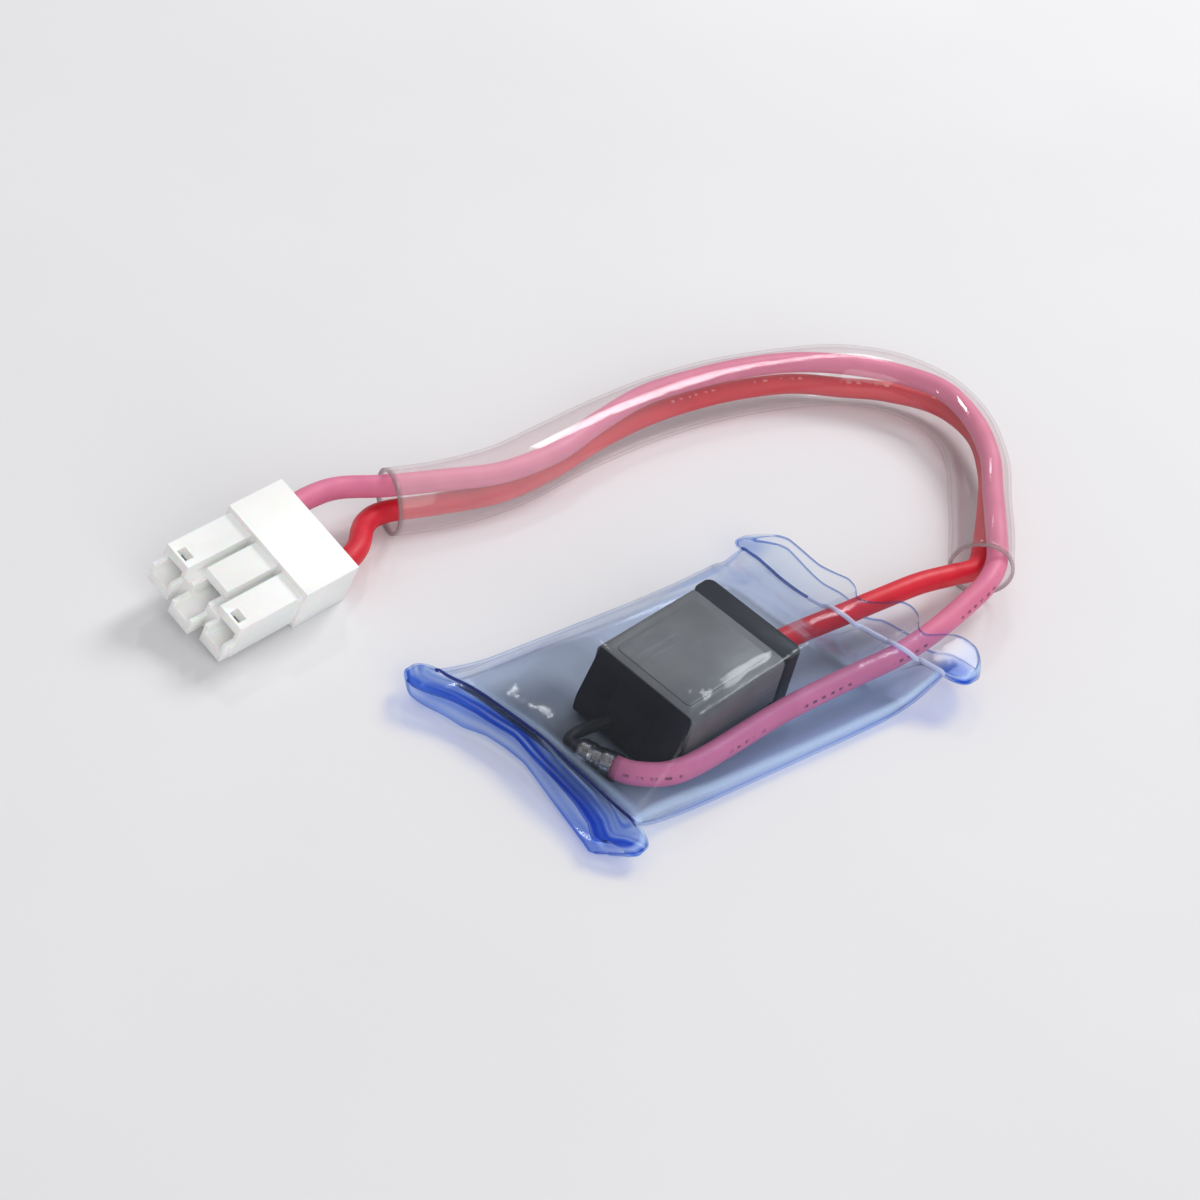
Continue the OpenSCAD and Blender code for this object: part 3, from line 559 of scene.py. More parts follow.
red_route = metres([
    (6.65, -2.6, 4.6), (10, -2.9, 4.6), (14.6, -3.4, 4.4), (21, -4.4, 4.2), (27.4, -5.6, 4.4),
    (33.2, -6.8, 4.6), (38.4, -8.1, 4.2), (43.6, -8.7, 3.2), (48.8, -6.2, 2.6), (55.2, -2.1, 2.9),
    (60.9, 2.1, 3.1), (65.7, 7.9, 3.4), (67.4, 15.2, 2.8), (64.2, 21.8, 2.3), (59, 26.4, 2.3),
    (53.4, 31, 2.3), (46.1, 34.1, 2.4), (38.2, 36.3, 2.4), (29.6, 37.6, 2.4), (20.7, 37.8, 2.2),
    (12, 37.2, 2.1), (3.2, 37.7, 2.1), (-4.9, 40.2, 2.3), (-11.6, 42.9, 2.3), (-15.6, 42.2, 2.8),
    (-20, 38.7, 3.8), (-24.4, 37.2, 3.9), (-26.7, 37.1, 3.9),
])
tube_route = metres([
    (42.4, -9.9, 4.4), (48.3, -5.7, 4.4), (54.2, -1, 4.3), (59.6, 3.4, 4.3), (64, 8.8, 4.3),
    (65.8, 15.2, 4.3), (63.9, 21.6, 4.3), (59.2, 26.6, 4.3), (53, 30.2, 4.3), (45.8, 33.1, 4.3),
    (38, 35.3, 4.3), (29.5, 36.7, 4.3), (20.7, 37.4, 4.3), (12, 37.6, 4.3), (3.2, 38, 4.3),
    (-5, 39.7, 4.3), (-11.8, 42.5, 4.3),
])
CORD_STEP = 0.8 * MM
LEAD_R, LEAD_SIDES = 1.4 * MM, 20
TUBE_R, TUBE_WALL, TUBE_SIDES = 4.3 * MM, 0.4 * MM, 40
TUBE_SPARE = 0.1 * MM  # The tube's radius is this much less, to leave room for its unevenness
EVEN_RINGS = 5  # Over this many rings the unevenness fades out at each end
MILKY, MILKY_FROM, MILKY_OVER = 0.12, 0.62, 0.2  # Much, and shares of the way to the plug


def lead(name, route, material, node, slot):
    """A lead's sheath and its line."""
    line = smooth_line(route, CORD_STEP)
    made = piece(name, tube_mesh(name, line, LEAD_R, LEAD_SIDES), "switch", node, slot=slot)
    made.data.materials.append(material)
    return made, line


def clear_tube():
    """Clear tube with a wall, slightly uneven as soft tube is, milky towards the plug and with
    deeper rims, which also carry painted shade."""
    line = smooth_line(tube_route, CORD_STEP)
    last = len(line) - 1

    def outer(i, a):
        fine = noise.noise(line[i] * 90 + Vector((0, 0, math.cos(a))))
        slow = noise.noise(Vector((i * 0.09, math.cos(a) * 0.8, math.sin(a) * 0.8)))
        fade = min(1, min(i, last - i) / EVEN_RINGS)
        return TUBE_R + (0.16 * fine + 0.1 * slow) * fade * MM - TUBE_SPARE

    made = tube_mesh("clear_tube_wall", line, outer, TUBE_SIDES, closed=False)
    tube = piece("clear_tube_wall", made, "switch", "clear_tube", slot="clear_tube")
    deep, pale, painted_shade = np.zeros((3, last + 1, TUBE_SIDES))
    along = np.linspace(0, 1, last + 1)
    pale[:] = MILKY * np.clip((along - MILKY_FROM) / MILKY_OVER, 0, 1)[:, None]
    # Its end rims are deeper and paler, and darkened with painted shade
    for i in (0, last):
        deep[i], pale[i], painted_shade[i] = 1.0, 0.25, 0.4
    mark(made, (deep, pale, painted_shade))
    made.materials.append(TUBE)
    return walled(tube, TUBE_WALL, offset=-1), line


def merged_copy(node):
    """Mesh of a CAD node with its loose triangles joined and its flat faces whole."""
    made = bmesh.new()
    made.from_mesh(nodes[node].data)
    bmesh.ops.remove_doubles(made, verts=made.verts, dist=1e-6)
    bmesh.ops.dissolve_limit(
        made, angle_limit=math.radians(1), verts=made.verts, edges=made.edges
    )
    mesh = bpy.data.meshes.new(node + "_soft")
    made.to_mesh(mesh)
    made.free()
    mesh.materials.clear()
    return mesh


def softened(name, node, body, material, width, slot):
    """A CAD node with its sharp edges rounded off."""
    made = piece(name, merged_copy(node), body, node, slot=slot)
    made.data.materials.append(material)
    edge = made.modifiers.new("edge", "BEVEL")
    edge.width = width
    edge.segments = 2
    edge.limit_method = "ANGLE"
    edge.angle_limit = math.radians(35)
    made = baked(made)
    made.data.shade_smooth()
    made.data.set_sharp_from_angle(angle=math.radians(32))
    return made


red, red_line = lead("red_lead_sheath", red_route, RED, "red_lead", "red_sheath")
pink, pink_line = lead("pink_lead_sheath", pink_route, PINK, "pink_lead", "pink_sheath")
tube, tube_line = clear_tube()
plug = softened("plug_moulding", "plug_housing", "switch", NYLON, 0.22 * MM, "white_nylon")
softened("housing_moulding", "switch_housing", "switch", BLACK, 0.2 * MM, "black_moulding")
softened("cover_sheet", "metal_cover", "switch", GREY, 0.07 * MM, "grey_metal")


# Pouch film: a flattened tube with a weld and an open lip at each end. Its numbers are millimetres
# and shares. Side -1 is the splice end and side 1 the lead end.

SWITCH_X, SWITCH_Y = -4.1, -0.4
BODY_W, BODY_TOP = 15.0, 0.45 + 8.7
SIDE_GAP, TOP_GAP = 0.3, 0.26  # Between the switch and the middle of the film
LEAN, WELD_LEAN = -0.166, 0.07  # Of the pouch's middle line off x, and of its welds off y
POUCH_X, POUCH_Y = -1.7, 0.4
WELD_A, WELD_B = POUCH_X - 22.6, POUCH_X + 22.6
SLOPE_A, SLOPE_B = SWITCH_X - 8.35, SWITCH_X + 8.05 + 3.3 + 0.3  # Here the upper film turns down
HALF_W = 15.0
FOLD_Z, FOLD_R = 1.0, 0.55
WELD_Z = {-1: 3.0, 1: 4.0}
FLAT_Z = 0.2  # Height of the film that lies flat
RIDGE_R = 1.52  # Of the ridge that the film makes over a lead
FILM_T = 0.32
SHEETS_APART, OPEN_FROM = 0.36, 0.03  # The least gap, and the share from a fold where it is full
LEAD_GAP = {True: 0.08, False: 0.14}  # From a lead to the middle of the film over and under it
PINCH_LENGTH, RISE_LENGTH = 3.6, 9  # This far from a weld, the sheets close and the folds rise
SINK, SINK_LENGTH = 3, 4  # The ridges start this deep by the switch and come up over this length
X_LIKE_Z = 0.82  # In the photo, this far along x looks like 1 up
EAR_FULL, EAR_ROUND, EAR_CUT = 0.42, 0.66, 1.1  # Shares of the lip, and how far the rim is cut
LIP_RINGS = {-1: 19, 1: 29}
BODY_RINGS = {-1: 49, 1: 54}
RING_SPREAD = 1.3  # Above 1, rings crowd towards the welds
RIPPLES = [(0.35, 0.07), (1.1, 0.02)]  # Scale and height

EVEN = np.linspace(1, -1, 171)
ACROSS = 1.5 * EVEN - 0.5 * EVEN ** 3  # Share across from the back fold (1) to the front fold (-1)

# Rims of the lips, by side and for the upper and the lower film: share across, length past the
# weld and height
RIM_TABLES = {
    (-1, True): [
        (-1, 3.1, 2.4), (-0.93, 3.7, 2.6), (-0.87, 4.3, 2.5), (-0.82, 5.1, 2.2), (-0.77, 4.7, 2.2),
        (-0.7, 3.9, 2.4), (-0.51, 3.1, 2.8), (-0.32, 2.8, 3.1), (-0.06, 2.4, 3.2),
        (0.13, 1.8, 3.3), (0.28, 2.1, 3.2), (0.46, 2.3, 3.1), (0.6, 2.7, 3.1), (0.69, 3.2, 3.2),
        (0.82, 4.1, 3.3), (0.93, 4.3, 3.4), (1, 3.2, 3.1),
    ],
    (-1, False): [
        (-1, 3.1, 0.9), (-0.93, 3.6, 0.6), (-0.87, 4.2, 0.4), (-0.82, 5.2, 0.4), (-0.73, 4.7, 0.4),
        (-0.58, 4.1, 0.4), (-0.42, 3.5, 0.5), (-0.24, 2.8, 0.6), (-0.01, 1.9, 0.8),
        (0.17, 1.8, 0.8), (0.34, 2.1, 0.8), (0.5, 3.1, 0.7), (0.66, 3.3, 0.8), (0.81, 3.8, 1),
        (0.93, 3.9, 1.3), (1, 3.2, 1.7),
    ],
    (1, True): [
        (-1, 5.2, 4.3), (-0.96, 6.6, 4.5), (-0.88, 7.5, 4.6), (-0.79, 7.6, 4.7), (-0.72, 7.1, 4.9),
        (-0.67, 5.2, 5.0), (-0.63, 3.6, 5.1), (-0.57, 3.5, 5.2), (-0.5, 4.6, 5.3), (-0.43, 6, 5.5),
        (-0.34, 6.5, 5.7), (-0.26, 6.3, 5.6), (-0.19, 4.8, 5.3), (-0.13, 3.3, 5), (-0.06, 3, 4.8),
        (0.02, 4, 4.6), (0.08, 5.2, 4.6), (0.18, 5.9, 4.6), (0.3, 5.6, 4.5), (0.42, 5.4, 4.4),
        (0.6, 5.8, 4.3), (0.8, 6.1, 4.2), (0.88, 5.6, 4.1), (0.95, 4.4, 4), (1, 3.2, 3.8),
    ],
    (1, False): [
        (-1, 5.2, 2.9), (-0.96, 6.2, 2.6), (-0.88, 6.7, 2.4), (-0.79, 6.7, 2.2), (-0.6, 6, 2.1),
        (-0.25, 5.5, 2.1), (-0.06, 4.7, 2.2), (0.06, 5, 2.3), (0.19, 5.3, 2.4), (0.34, 5.1, 2.4),
        (0.44, 5.4, 2.4), (0.62, 6.1, 2.3), (0.8, 6.7, 2.2), (0.88, 6.2, 2.3), (0.95, 4.8, 2.5),
        (1, 3.2, 2.8),
    ],
}
# How far each weld bows out of line: share across and bow
BOW_TABLES = {
    -1: [
        (-1, 0.7), (-0.95, 0.6), (-0.75, 0.4), (-0.56, 0), (-0.27, -0.5), (-0.02, -1.1),
        (0.2, -1), (0.55, -0.9), (0.72, -0.6), (0.84, 0.1), (1, 0.3),
    ],
    1: [
        (-1, 1), (-0.84, 0.8), (-0.69, 0.6), (-0.53, 0.3), (-0.28, -0.1), (-0.08, -0.5),
        (0.13, -0.8), (0.38, -1.5), (0.57, -1.4), (0.74, -0.7), (0.87, -0.6), (1, -0.4),
    ],
}
# How far the puffed ears stand past the folds, by side and for the front (-1) and the back (1)
EARS = {(-1, -1): 2.7, (-1, 1): 2.3, (1, -1): 2.6, (1, 1): 1.6}
# Section of the ridge over a lead: way from its middle and height, in radii of the ridge
RIDGE = [
    (0, 1.05), (0.2, 1.04), (0.4, 1.0), (0.6, 0.93), (0.8, 0.82), (1.0, 0.63), (1.2, 0.38),
    (1.4, 0.12), (1.6, -0.14), (1.8, -0.4), (2.4, -3),
]
# Pulls in the upper film: from x, y to x, y, height and half width
CREASES = [
    (-24, 16.5, -12.5, 8.6, 0.22, 0.5), (-23.5, 15.6, -10, 12.2, 0.2, 0.6),
    (-22.5, -9, -16.5, -5.5, 0.16, 0.5), (-21.5, -11.5, -11, -9.5, -0.14, 0.7),
    (19, 11, 9, 8.4, 0.2, 0.5), (19.5, 6, 8.5, 3.5, 0.16, 0.6), (18.5, 9, 12, 12, -0.14, 0.5),
    (12, -15.6, -14, -12.4, -0.16, 0.9), (18, -16, 2, -14.2, 0.15, 0.6),
    (-12, 8, -12.8, -7.5, 0.1, 0.5), (7, 8, 7.6, -7.6, 0.1, 0.5),
    (-7.6, -5.5, 2.2, -5.7, 0.24, 1.0), (-10.0, -5.9, -8.2, -5.4, 0.28, 0.7),
    (-23.7, 9.4, -22.6, 8.6, 0.14, 0.24), (-23.4, 8.3, -22.2, 7.6, 0.18, 0.24),
    (-23.2, 7.2, -22.0, 6.4, 0.18, 0.24), (-23.0, 6.0, -21.9, 5.4, 0.14, 0.24),
]


def soft_table(table, n, width=0.05):
    """Column n of a table as a function of the share across, smoothed over this width."""
    u, step = np.linspace(-1, 1, 401, retstep=True)
    v = np.interp(u, [r[0] for r in table], [r[n] for r in table])
    k = np.exp(-0.5 * (np.linspace(-3, 3, int(6 * width / step) | 1)) ** 2)
    k /= k.sum()
    half = len(k) // 2
    wide = np.concatenate([2 * v[0] - v[half:0:-1], v, 2 * v[-1] - v[-2:-half - 2:-1]])
    soft = np.convolve(wide, k, "valid")
    return lambda x: np.interp(x, u, soft)


RIM_REACH = {key: soft_table(table, 1, 0.018) for key, table in RIM_TABLES.items()}
RIM_Z = {key: soft_table(table, 2) for key, table in RIM_TABLES.items()}
BOW = {side: soft_table(table, 1, 0.08) for side, table in BOW_TABLES.items()}


def lead_at(route):
    """The y and z of a lead as functions of x, where it runs through the pouch."""
    run = [(p.x / MM, p.y / MM, p.z / MM) for p in route if p.y < 0 and -0.013 < p.x < 0.04]
    x, y, z = (np.array(c) for c in zip(*run))
    return lambda at: (np.interp(at, x, y), np.interp(at, x, z))


RED_AT, PINK_AT = lead_at(red_route), lead_at(pink_route)


def mid_y(x):
    """Middle line of the pouch."""
    return POUCH_Y + LEAN * (x - SWITCH_X)


def slope_share(x):
    """0 over the switch, rising to 1 at the welds."""
    a = (SLOPE_A - x) / (SLOPE_A - WELD_A)
    b = (x - SLOPE_B) / (WELD_B - SLOPE_B)
    return np.clip(np.where(x < SLOPE_A, a, b), 0, 1)


def fall(x, y):
    """How far the upper film has come down at a place, from 0 over the switch to 1."""
    flat = BODY_W / 2 + SIDE_GAP
    edge = HALF_W + np.where(y > SWITCH_Y, 1, -1) * (mid_y(x) - SWITCH_Y)
    sideways = np.clip((np.abs(y - SWITCH_Y) - flat) / (edge - flat), 0, 1)
    return np.minimum(1, (slope_share(x) ** 4 + sideways ** 4) ** 0.25)


def ridge(off):
    """Height of the film over the middle of a lead, this far to the side of it."""
    return RIDGE_R * np.interp(np.abs(off) / RIDGE_R, *zip(*RIDGE))


def soft_max(a, b, k=0.35):
    """The larger of two heights, blended where they differ by less than k."""
    h = np.clip(0.5 + 0.5 * (a - b) / k, 0, 1)
    return b + (a - b) * h + k * h * (1 - h) * 0.5


def creased(x, y):
    """Height of the creases at a place; each one fades out at its ends."""
    total = np.zeros_like(x)
    for x0, y0, x1, y1, height, width in CREASES:
        run = np.array([x1 - x0, y1 - y0])
        span = np.hypot(*run)
        along = ((x - x0) * run[0] + (y - y0) * run[1]) / span ** 2
        across = ((x - x0) * run[1] - (y - y0) * run[0]) / span
        ends = np.clip(np.minimum(along, 1 - along) * 6 + 0.15, 0, 1)
        total += height * np.exp(-((across / width) ** 2)) * ends ** 2 * (3 - 2 * ends)
    return total


def closing(start, power):
    """1 over the middle of the film, rounding off from this share across to 0 at the folds."""
    past = np.clip((np.abs(ACROSS) - start) / (1 - start), 0, 1)
    return np.sqrt(1 - past ** power)


MOUTH, FULL = closing(0.87, 2), closing(0.62, 4)


def ear(side, front, t):
    """How far an ear stands out at share t of its lip: it swells at once and rounds off at the
    rim."""
    swell = math.sqrt(1 - (1 - min(t / EAR_FULL, 1)) ** 2)
    cut = EAR_CUT * max(0, (t - EAR_ROUND) / (1 - EAR_ROUND)) ** 2.4
    return EARS[side, front] * swell - cut


def stations():
    """Where the rings of the film stand: x, share of the way from weld to rim, and side."""
    lips = {side: np.linspace(0, 1, rings + 1)[1:] for side, rings in LIP_RINGS.items()}
    start = np.linspace(0, 1, BODY_RINGS[-1] + 1)[:-1] ** RING_SPREAD
    end = np.linspace(1, 0, BODY_RINGS[1]) ** RING_SPREAD
    return (
        [(WELD_A, t, -1) for t in lips[-1][::-1]]
        + [(x, 0, -1) for x in WELD_A + (POUCH_X - WELD_A) * start]
        + [(x, 0, 1) for x in WELD_B + (POUCH_X - WELD_B) * end]
        + [(WELD_B, t, 1) for t in lips[1]]
    )


def film_ring(nominal, t, side):
    """Points of the upper and the lower film at a station, and half its width."""
    u = ACROSS
    half_back, half_front = HALF_W + ear(side, 1, t), HALF_W + ear(side, -1, t)
    middle_y = mid_y(nominal)
    half = half_front + (half_back - half_front) * (u + 1) / 2
    y = middle_y + half * u
    share = float(slope_share(np.array(nominal)))
    # Half of the bow is in the weld's place and half in its height
    bow = BOW[side](u) * share ** 3 / 2
    base = nominal - WELD_LEAN * share * (y - middle_y) + side * bow
    weld_z = WELD_Z[side] + side * bow / X_LIKE_Z
    sheets, drawn_in = [], 0
    for top in (True, False):
        x = base + side * t * RIM_REACH[side, top](u)
        to_weld = np.where(
            x < POUCH_X, x - (base + WELD_A - nominal), base + WELD_B - nominal - x
        )
        pinched = np.clip(1 - to_weld / PINCH_LENGTH, 0, 1) ** 2 if share < 1 else np.ones_like(x)
        edge = FOLD_Z + (weld_z - FOLD_Z) * np.clip(1 - to_weld / RISE_LENGTH, 0, 1) ** 2
        if t > 0:
            middle = (RIM_Z[side, True](u) + RIM_Z[side, False](u)) / 2
            z = middle + (RIM_Z[side, top](u) - middle) * MOUTH
            z = weld_z + (z - weld_z) * t ** 0.75
        elif top:
            roof = (BODY_TOP + TOP_GAP - edge) * (1 - fall(x, y)) ** 0.98
            z = edge + FOLD_R * FULL * (1 - pinched) + roof
            z = z + creased(x, y) * (1 - pinched) * FULL
        else:
            z = edge + ((FLAT_Z + (weld_z - FLAT_Z) * pinched) - edge) * FULL
        if side > 0:
            # The film goes over and under both leads
            (red_y, red_z), (pink_y, pink_z) = RED_AT(x), PINK_AT(x)
            sink = SINK * (1 - np.clip((x - SLOPE_B) / SINK_LENGTH, 0, 1)) ** 2
            by_red = ridge(y - red_y) - sink + LEAD_GAP[top]
            by_pink = ridge(y - pink_y) - sink + LEAD_GAP[top]
            if top:
                raised = soft_max(soft_max(z, by_red + red_z), by_pink + pink_z)
                drawn_in = X_LIKE_Z * (raised - z) * share ** 3
                z = raised
            else:
                z = -soft_max(soft_max(-z, by_red - red_z), by_pink - pink_z)
        sheets.append(np.stack([x - drawn_in, y, np.maximum(z, FLAT_Z)], 1))
    upper, lower = sheets
    apart = SHEETS_APART * np.sqrt(np.clip((1 - np.abs(u)) / OPEN_FROM, 0, 1))
    upper[:, 2] = np.maximum(upper[:, 2], lower[:, 2] + apart)
    # The sheets meet in the folds
    upper[[0, -1]] = lower[[0, -1]] = (upper[[0, -1]] + lower[[0, -1]]) / 2
    return upper, lower, half


def band(gap, width, soft):
    """1 within width of a line and 0 past it, with a soft edge."""
    return np.clip((width + soft / 2 - np.abs(gap)) / soft, 0, 1)


def streaks(rim, u):
    """Wavy lines along a lip, from -1 to 1, at these distances from its rim."""
    wave = np.sin(7.5 * rim + 1.7 * np.sin(2.3 * u + 0.5)) + np.sin(3.1 * rim - 2.6 * u)
    return wave / 2 * np.clip(1.2 - 0.5 * np.sin(5 * u + rim), 0, 1)


def lip_looks(t, side, deep, pale):
    """Marks of a ring in a lip. The lip at the splice end is deep and streaky; the other one has a
    thin deep rim and deep ears."""
    u = ACROSS
    rim = (1 - t) * RIM_REACH[side, True](u)
    low_deep, low_pale = deep, pale
    if side < 0:
        low_deep = deep + 0.24 + 0.3 * band(rim, 0.15, 0.3) + 0.2 * streaks(rim + 1, -u)
        by_rim = band(rim, 1.35 + 0.25 * np.sin(u * 5), 0.7)
        deep = (deep + 0.6 * by_rim + 0.36 + 0.3 * streaks(rim, u)) * min(1, 0.3 + 2 * t)
        pale = pale + 0.35 * np.clip(streaks(rim + 0.3, u + 0.4), 0, 1) ** 2
    else:
        by_rim = band(rim, 0.1, 0.2)
        ears = band(u + 1, 0.2, 0.12) + 0.3 * band(u - 1, 0.2, 0.12)
        low_deep = deep + 0.3 * by_rim + 0.2 * ears
        deep = deep + 0.5 * by_rim + (0.2 + 0.55 * band(t - 0.25, 0.22, 0.2)) * ears
    painted_shade = np.zeros_like(u)
    return (deep, pale, painted_shade), (low_deep, low_pale, painted_shade)


def body_looks(x, side, deep, pale, from_fold):
    """Marks of a ring between the welds: painted shade by the sloping end, by the leads and along
    the back fold; deep along the front, behind the back fold and at the weld of the splice end;
    and a painted highlight just inside that weld."""
    u = ACROSS
    front = np.clip((-0.25 - u) / 0.3, 0, 1) * np.clip((x + 21) / 8, 0.3, 1)
    behind = (u > 0) * np.clip((4 - x) / 6, 0, 1)
    # Painted shade: the switch's shadow by its sloping end, the leads' shadow, shade along the
    # back fold
    switch_shadow = band(x + 18.4, 5.6, 3) * band(u - 0.05, 0.62, 0.3)
    lead_shadow = band(x - 14, 6.5, 3) * band(u + 0.32, 0.34, 0.2)
    back_fold_shade = behind * band(from_fold - 0.95, 0.09, 0.2)
    painted_shade = 0.16 * switch_shadow + 0.06 * lead_shadow + 0.24 * back_fold_shade
    low_deep, low_pale = deep + 0.09 * front, pale
    deep = deep + 0.03 * front + 0.35 * behind * band(from_fold, 0.12, 0.15)
    if side < 0:
        to_weld = x - WELD_A
        deep = deep + 0.25 * math.exp(-(to_weld / 1.2) ** 2)
        # Painted highlight: a pale strip just inside the weld of the splice end
        pale = pale + 0.25 * band(to_weld - 0.8, 0.3, 0.5)
    return (deep, pale, painted_shade), (low_deep, low_pale, painted_shade)


def film_looks(nominal, t, side, half):
    """How deep, pale and dark the upper and the lower film look at a station."""
    from_fold = (1 - np.abs(ACROSS)) * half
    deep = (0.1 + 0.14 * min(1, max(0, nominal - 4) / 8)) * band(from_fold, 0.22, 0.25)
    # Painted highlight: a pale band along the front fold, on its front side only
    pale = 0.6 * band(from_fold - 0.6, 0.3, 0.4) * (ACROSS < 0)
    if t > 0:
        return lip_looks(t, side, deep, pale)
    return body_looks(nominal, side, deep, pale, from_fold)


def round_ring(upper, lower):
    """Values of the upper and the lower film as one ring, which has those in the folds once."""
    return np.concatenate([upper, lower[-2:0:-1]])


def film_sheet():
    """Rings of the film's middle, and how deep, pale and dark it looks at their points."""
    rings, looks = [], []
    for nominal, t, side in stations():
        upper, lower, half = film_ring(nominal, t, side)
        rings.append(round_ring(upper, lower))
        pairs = zip(*film_looks(nominal, t, side, half))
        looks.append([np.clip(round_ring(up, low), 0, 1) for up, low in pairs])
    return np.array(rings), np.array(looks).transpose(1, 0, 2)


def pouch_film():
    """Makes the pouch's film and returns the lines of its two welds."""
    rings, looks = film_sheet()
    count, around = rings.shape[:2]
    across = len(ACROSS)
    for ring in rings[1:-1]:
        for point in ring[4:across - 4]:
            at = Vector(point)
            point[2] += sum(noise.noise(at * scale) * height for scale, height in RIPPLES)
    faces = [
        (i * around + k, i * around + (k + 1) % around, (i + 1) * around + (k + 1) % around,
         (i + 1) * around + k)
        for i in range(count - 1) for k in range(around)
    ]
    mesh = bpy.data.meshes.new("pouch_film")
    mesh.from_pydata((rings.reshape(-1, 3) * MM).tolist(), [], faces)
    mark(mesh, looks)
    made = bmesh.new()
    made.from_mesh(mesh)
    bmesh.ops.recalc_face_normals(made, faces=made.faces)
    made.to_mesh(mesh)
    made.free()
    film = piece("pouch_film", mesh, "switch", "pouch", slot="blue_film")
    mesh.materials.append(FILM)
    mesh.materials.append(FILM_EDGE)
    weld_rings = {-1: LIP_RINGS[-1], 1: count - 1 - LIP_RINGS[1]}
    welds = {side: metres(rings[at, 2:across - 2]) for side, at in weld_rings.items()}
    walled(film, FILM_T * MM, offset=0, rim_material=1)
    return welds


def weld_bead(name, line, width, height, material):
    """Bead pressed along a weld: an oval profile swept along its line by a node tree."""
    path = bpy.data.meshes.new(name)
    path.from_pydata([tuple(p) for p in line], [(i, i + 1) for i in range(len(line) - 1)], [])
    made = added(name, path)
    group = bpy.data.node_groups.new(name, "GeometryNodeTree")
    for label, way in (("Line", "INPUT"), ("Bead", "OUTPUT")):
        group.interface.new_socket(label, in_out=way, socket_type="NodeSocketGeometry")
    tree = Tree(group)
    given, out = tree.add("NodeGroupInput"), tree.add("NodeGroupOutput")
    curve = tree.add("GeometryNodeMeshToCurve", {"Mesh": given.outputs["Line"]})
    circle = tree.add("GeometryNodeCurvePrimitiveCircle", {"Resolution": 12, "Radius": 0.5})
    oval = tree.add(
        "GeometryNodeTransform",
        {"Geometry": circle.outputs["Curve"], "Scale": (width, height, 1)},
    )
    sweep = tree.add("GeometryNodeCurveToMesh", {
        "Curve": curve.outputs["Curve"], "Profile Curve": oval.outputs["Geometry"],
        "Fill Caps": True,
    })
    whole = tree.add("GeometryNodeRealizeInstances", {"Geometry": sweep.outputs["Mesh"]})
    finish = tree.add(
        "GeometryNodeSetMaterial",
        {"Geometry": whole.outputs["Geometry"], "Material": material},
    )
    tree.put(out.inputs["Bead"], finish.outputs["Geometry"])
    made.modifiers.new("bead", "NODES").node_group = group
    made = baked(made)
    made.data.shade_smooth()
    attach(made, "switch")


welds = pouch_film()
BACK_SHARE = 0.4  # Of the weld at the lead end, which is dark at the back and pale in front
turn_at = round(len(welds[1]) * BACK_SHARE)
# The splice weld gets painted shade; the lead weld gets painted shade (the film's edge material)
# at the back and a painted highlight in front
weld_bead("splice_weld", welds[-1], 0.27 * MM, 0.5 * MM, WELD_SHADED)
weld_bead("lead_weld_back", welds[1][:turn_at + 1], 0.22 * MM, 0.5 * MM, FILM_EDGE)
weld_bead("lead_weld_front", welds[1][turn_at:], 0.56 * MM, 0.64 * MM, WELD_LIT)


# Splice, tail, resin and disc

TAIL_R, TAIL_SIDES, TAIL_STEP = 0.75 * MM, 18, 0.25 * MM
SLEEVE_SIDES, SLEEVE_RINGS = 32, 60
RESIN_FILL, RESIN_OUT = 0.04 * MM, 0.29 * MM  # Sideways in its pocket, and out to the slope
NEAR = 0.01 * MM  # Points this close to a plane lie in it


def tail():
    """Black tail on a smooth bend from the sloping end into the splice."""
    route = metres([
        (-12.9, 1.5, 2.55), (-14.6, 1.6, 2.5), (-16.2, 2, 2.4), (-17.9, 2.4, 2.3),
        (-19.2, 2.5, 2.3), (-20.1, 2.3, 2.3), (-20.6, 1.9, 2.35), (-20.8, 1.4, 2.4),
        (-20.74, 0.9, 2.4), (-20.6, 0.5, 2.4),
    ])
    mesh = tube_mesh("tail_sheath", smooth_line(route, TAIL_STEP), TAIL_R, TAIL_SIDES)
    made = piece("tail_sheath", mesh, "switch", "tail_lead", slot="black_sheath")
    made.data.materials.append(TAIL)


def sleeve():
    """Clear sleeve shrunk on the splice: it narrows to both leads and at the barrel's waist."""
    length = (SPLICE_B - SPLICE_A).length / MM
    # Way from the start of the splice and radius, in millimetres
    profile = [
        (-0.75, 0.9), (-0.7, 1.0), (-0.3, 1.15), (0.1, 1.5), (0.6, 1.6), (length * 0.34, 1.6),
        (length * 0.5, 1.42), (length * 0.66, 1.6), (length - 0.3, 1.66), (length + 0.4, 1.66),
        (length + 0.7, 1.6), (length + 0.72, 1.45),
    ]
    wanted = np.linspace(profile[0][0], profile[-1][0], SLEEVE_RINGS)
    radii = [float(r) for r in np.interp(wanted, *zip(*profile))]
    line = [SPLICE_A + SPLICE_RUN * (float(w) * MM) for w in wanted]

    def uneven(i, a):
        return (radii[i] + 0.05 * noise.noise(Vector((i * 0.2, math.cos(a), math.sin(a))))) * MM

    mesh = tube_mesh("splice_sleeve_skin", line, uneven, SLEEVE_SIDES, closed=False)
    made = piece("splice_sleeve_skin", mesh, "switch", "splice_sleeve", slot="clear_sleeve")
    made.data.materials.append(SLEEVE)


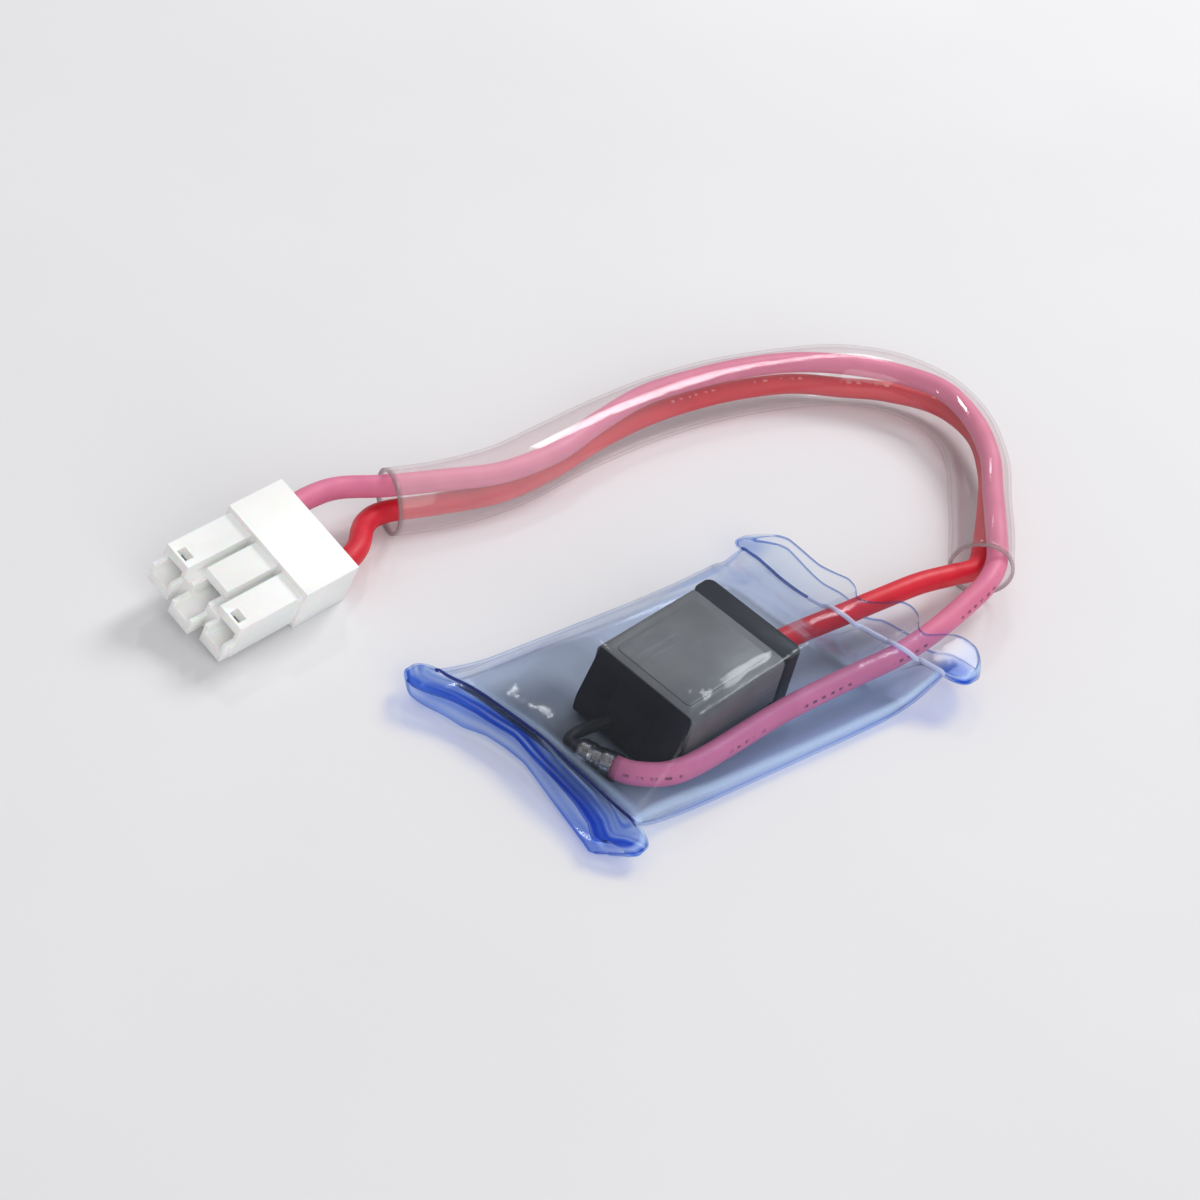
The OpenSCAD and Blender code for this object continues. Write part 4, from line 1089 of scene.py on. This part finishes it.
def end_resin():
    """Resin that fills the pocket of the sloping end up to the slope's face."""
    mesh = merged_copy("tail_end_seal")
    xyz = np.array([v.co for v in mesh.vertices])
    low, high = xyz.min(0), xyz.max(0)
    foot_x, top_x = (xyz[np.abs(xyz[:, 2] - z) < NEAR][:, 0].min() for z in (low[2], high[2]))
    share_up = (xyz[:, 2] - low[2]) / (high[2] - low[2])
    on_slope = xyz[:, 0] < foot_x + (top_x - foot_x) * share_up + 2 * NEAR
    off_middle = xyz[:, 1:] - ((low + high) / 2)[1:]
    at_side = np.abs(off_middle) > (high - low)[1:] / 2 - NEAR
    xyz[:, 1:] += np.sign(off_middle) * RESIN_FILL * at_side
    xyz[on_slope, 0] -= RESIN_OUT
    mesh.vertices.foreach_set("co", xyz.ravel())
    made = piece("end_resin", mesh, "switch", "tail_end_seal", slot="black_resin", smooth=False)
    made.data.materials.append(RESIN)


def disc_sheet():
    """The bimetal disc, on its own copy of the mesh."""
    made = piece(
        "disc_sheet", merged_copy("bimetal_disc"), "switch", "bimetal_disc", slot="bimetal",
        smooth=False,
    )
    made.data.materials.append(BIMETAL)
    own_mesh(made)


tail()
sleeve()
end_resin()
disc_sheet()


# Nodes that are shown as they come from the CAD

FINISHES = {
    "base_plate": BLACK,
    "disc_guide": BROWN,
    "push_pin": CERAMIC,
    "contact_arm": COPPER,
    "moving_contact": SILVER,
    "fixed_contact": SILVER,
    "arm_rivet": BRASS,
    "moving_terminal": BRASS,
    "fixed_terminal": BRASS,
    "lead_end_seal": RESIN,
    "splice_barrel": TINNED,
    "red_crimp_contact": TINNED,
    "pink_crimp_contact": TINNED,
}
for name, finish in FINISHES.items():
    for slot in nodes[name].material_slots:
        slot.material = finish


# Floor and light

FLOOR_HALF, FLOOR_Z = 1.6, -0.02 * MM


def floor():
    r = FLOOR_HALF
    mesh = bpy.data.meshes.new("floor")
    mesh.from_pydata([(-r, -r, 0), (r, -r, 0), (r, r, 0), (-r, r, 0)], [], [(0, 1, 2, 3)])
    made = added("floor", mesh)
    made.location.z = FLOOR_Z
    paper = worked(
        "floor_paper",
        tone=(Grain(14, 4), *MOST, (0.77, 0.77, 0.785), (0.8, 0.8, 0.815)),
        rough=0.85,
        relief=(Grain(900, 2), 0.05, 0.1 * MM),
        Specular_IOR_Level=0.1,
    )
    mesh.materials.append(paper)


def lamp(name, place, target, size, power):
    data = bpy.data.lights.new(name, "AREA")
    data.shape = "RECTANGLE"
    data.size, data.size_y = size
    data.energy = power
    made = added(name, data)
    made.location = place
    made.rotation_mode = "QUATERNION"
    made.rotation_quaternion = (Vector(target) - Vector(place)).to_track_quat("-Z", "Y")


def sky(strength):
    world = bpy.data.worlds.new("room")
    bpy.context.scene.world = world
    world.use_nodes = True
    back = world.node_tree.nodes["Background"]
    back.inputs["Color"].default_value = (1, 0.985, 1, 1)
    back.inputs["Strength"].default_value = strength


floor()
sky(0.44)
lamp("window", (0.645, 0.08, 0.625), target=(0, 0.015, 0), size=(0.3, 0.3), power=3.6)
lamp("ceiling", (-0.3, -0.6, 0.5), target=(0, 0.015, 0), size=(0.7, 0.7), power=2.9)
lamp("spark", (0.285, 0.335, 0.44), target=(-0.02, 0, 0), size=(0.05, 0.05), power=0.3)
lamp("spark_back", (-0.045, 0.27, 0.53), target=(0, 0.01, 0), size=(0.04, 0.03), power=0.09)

bpy.context.scene.view_settings.view_transform = "Standard"
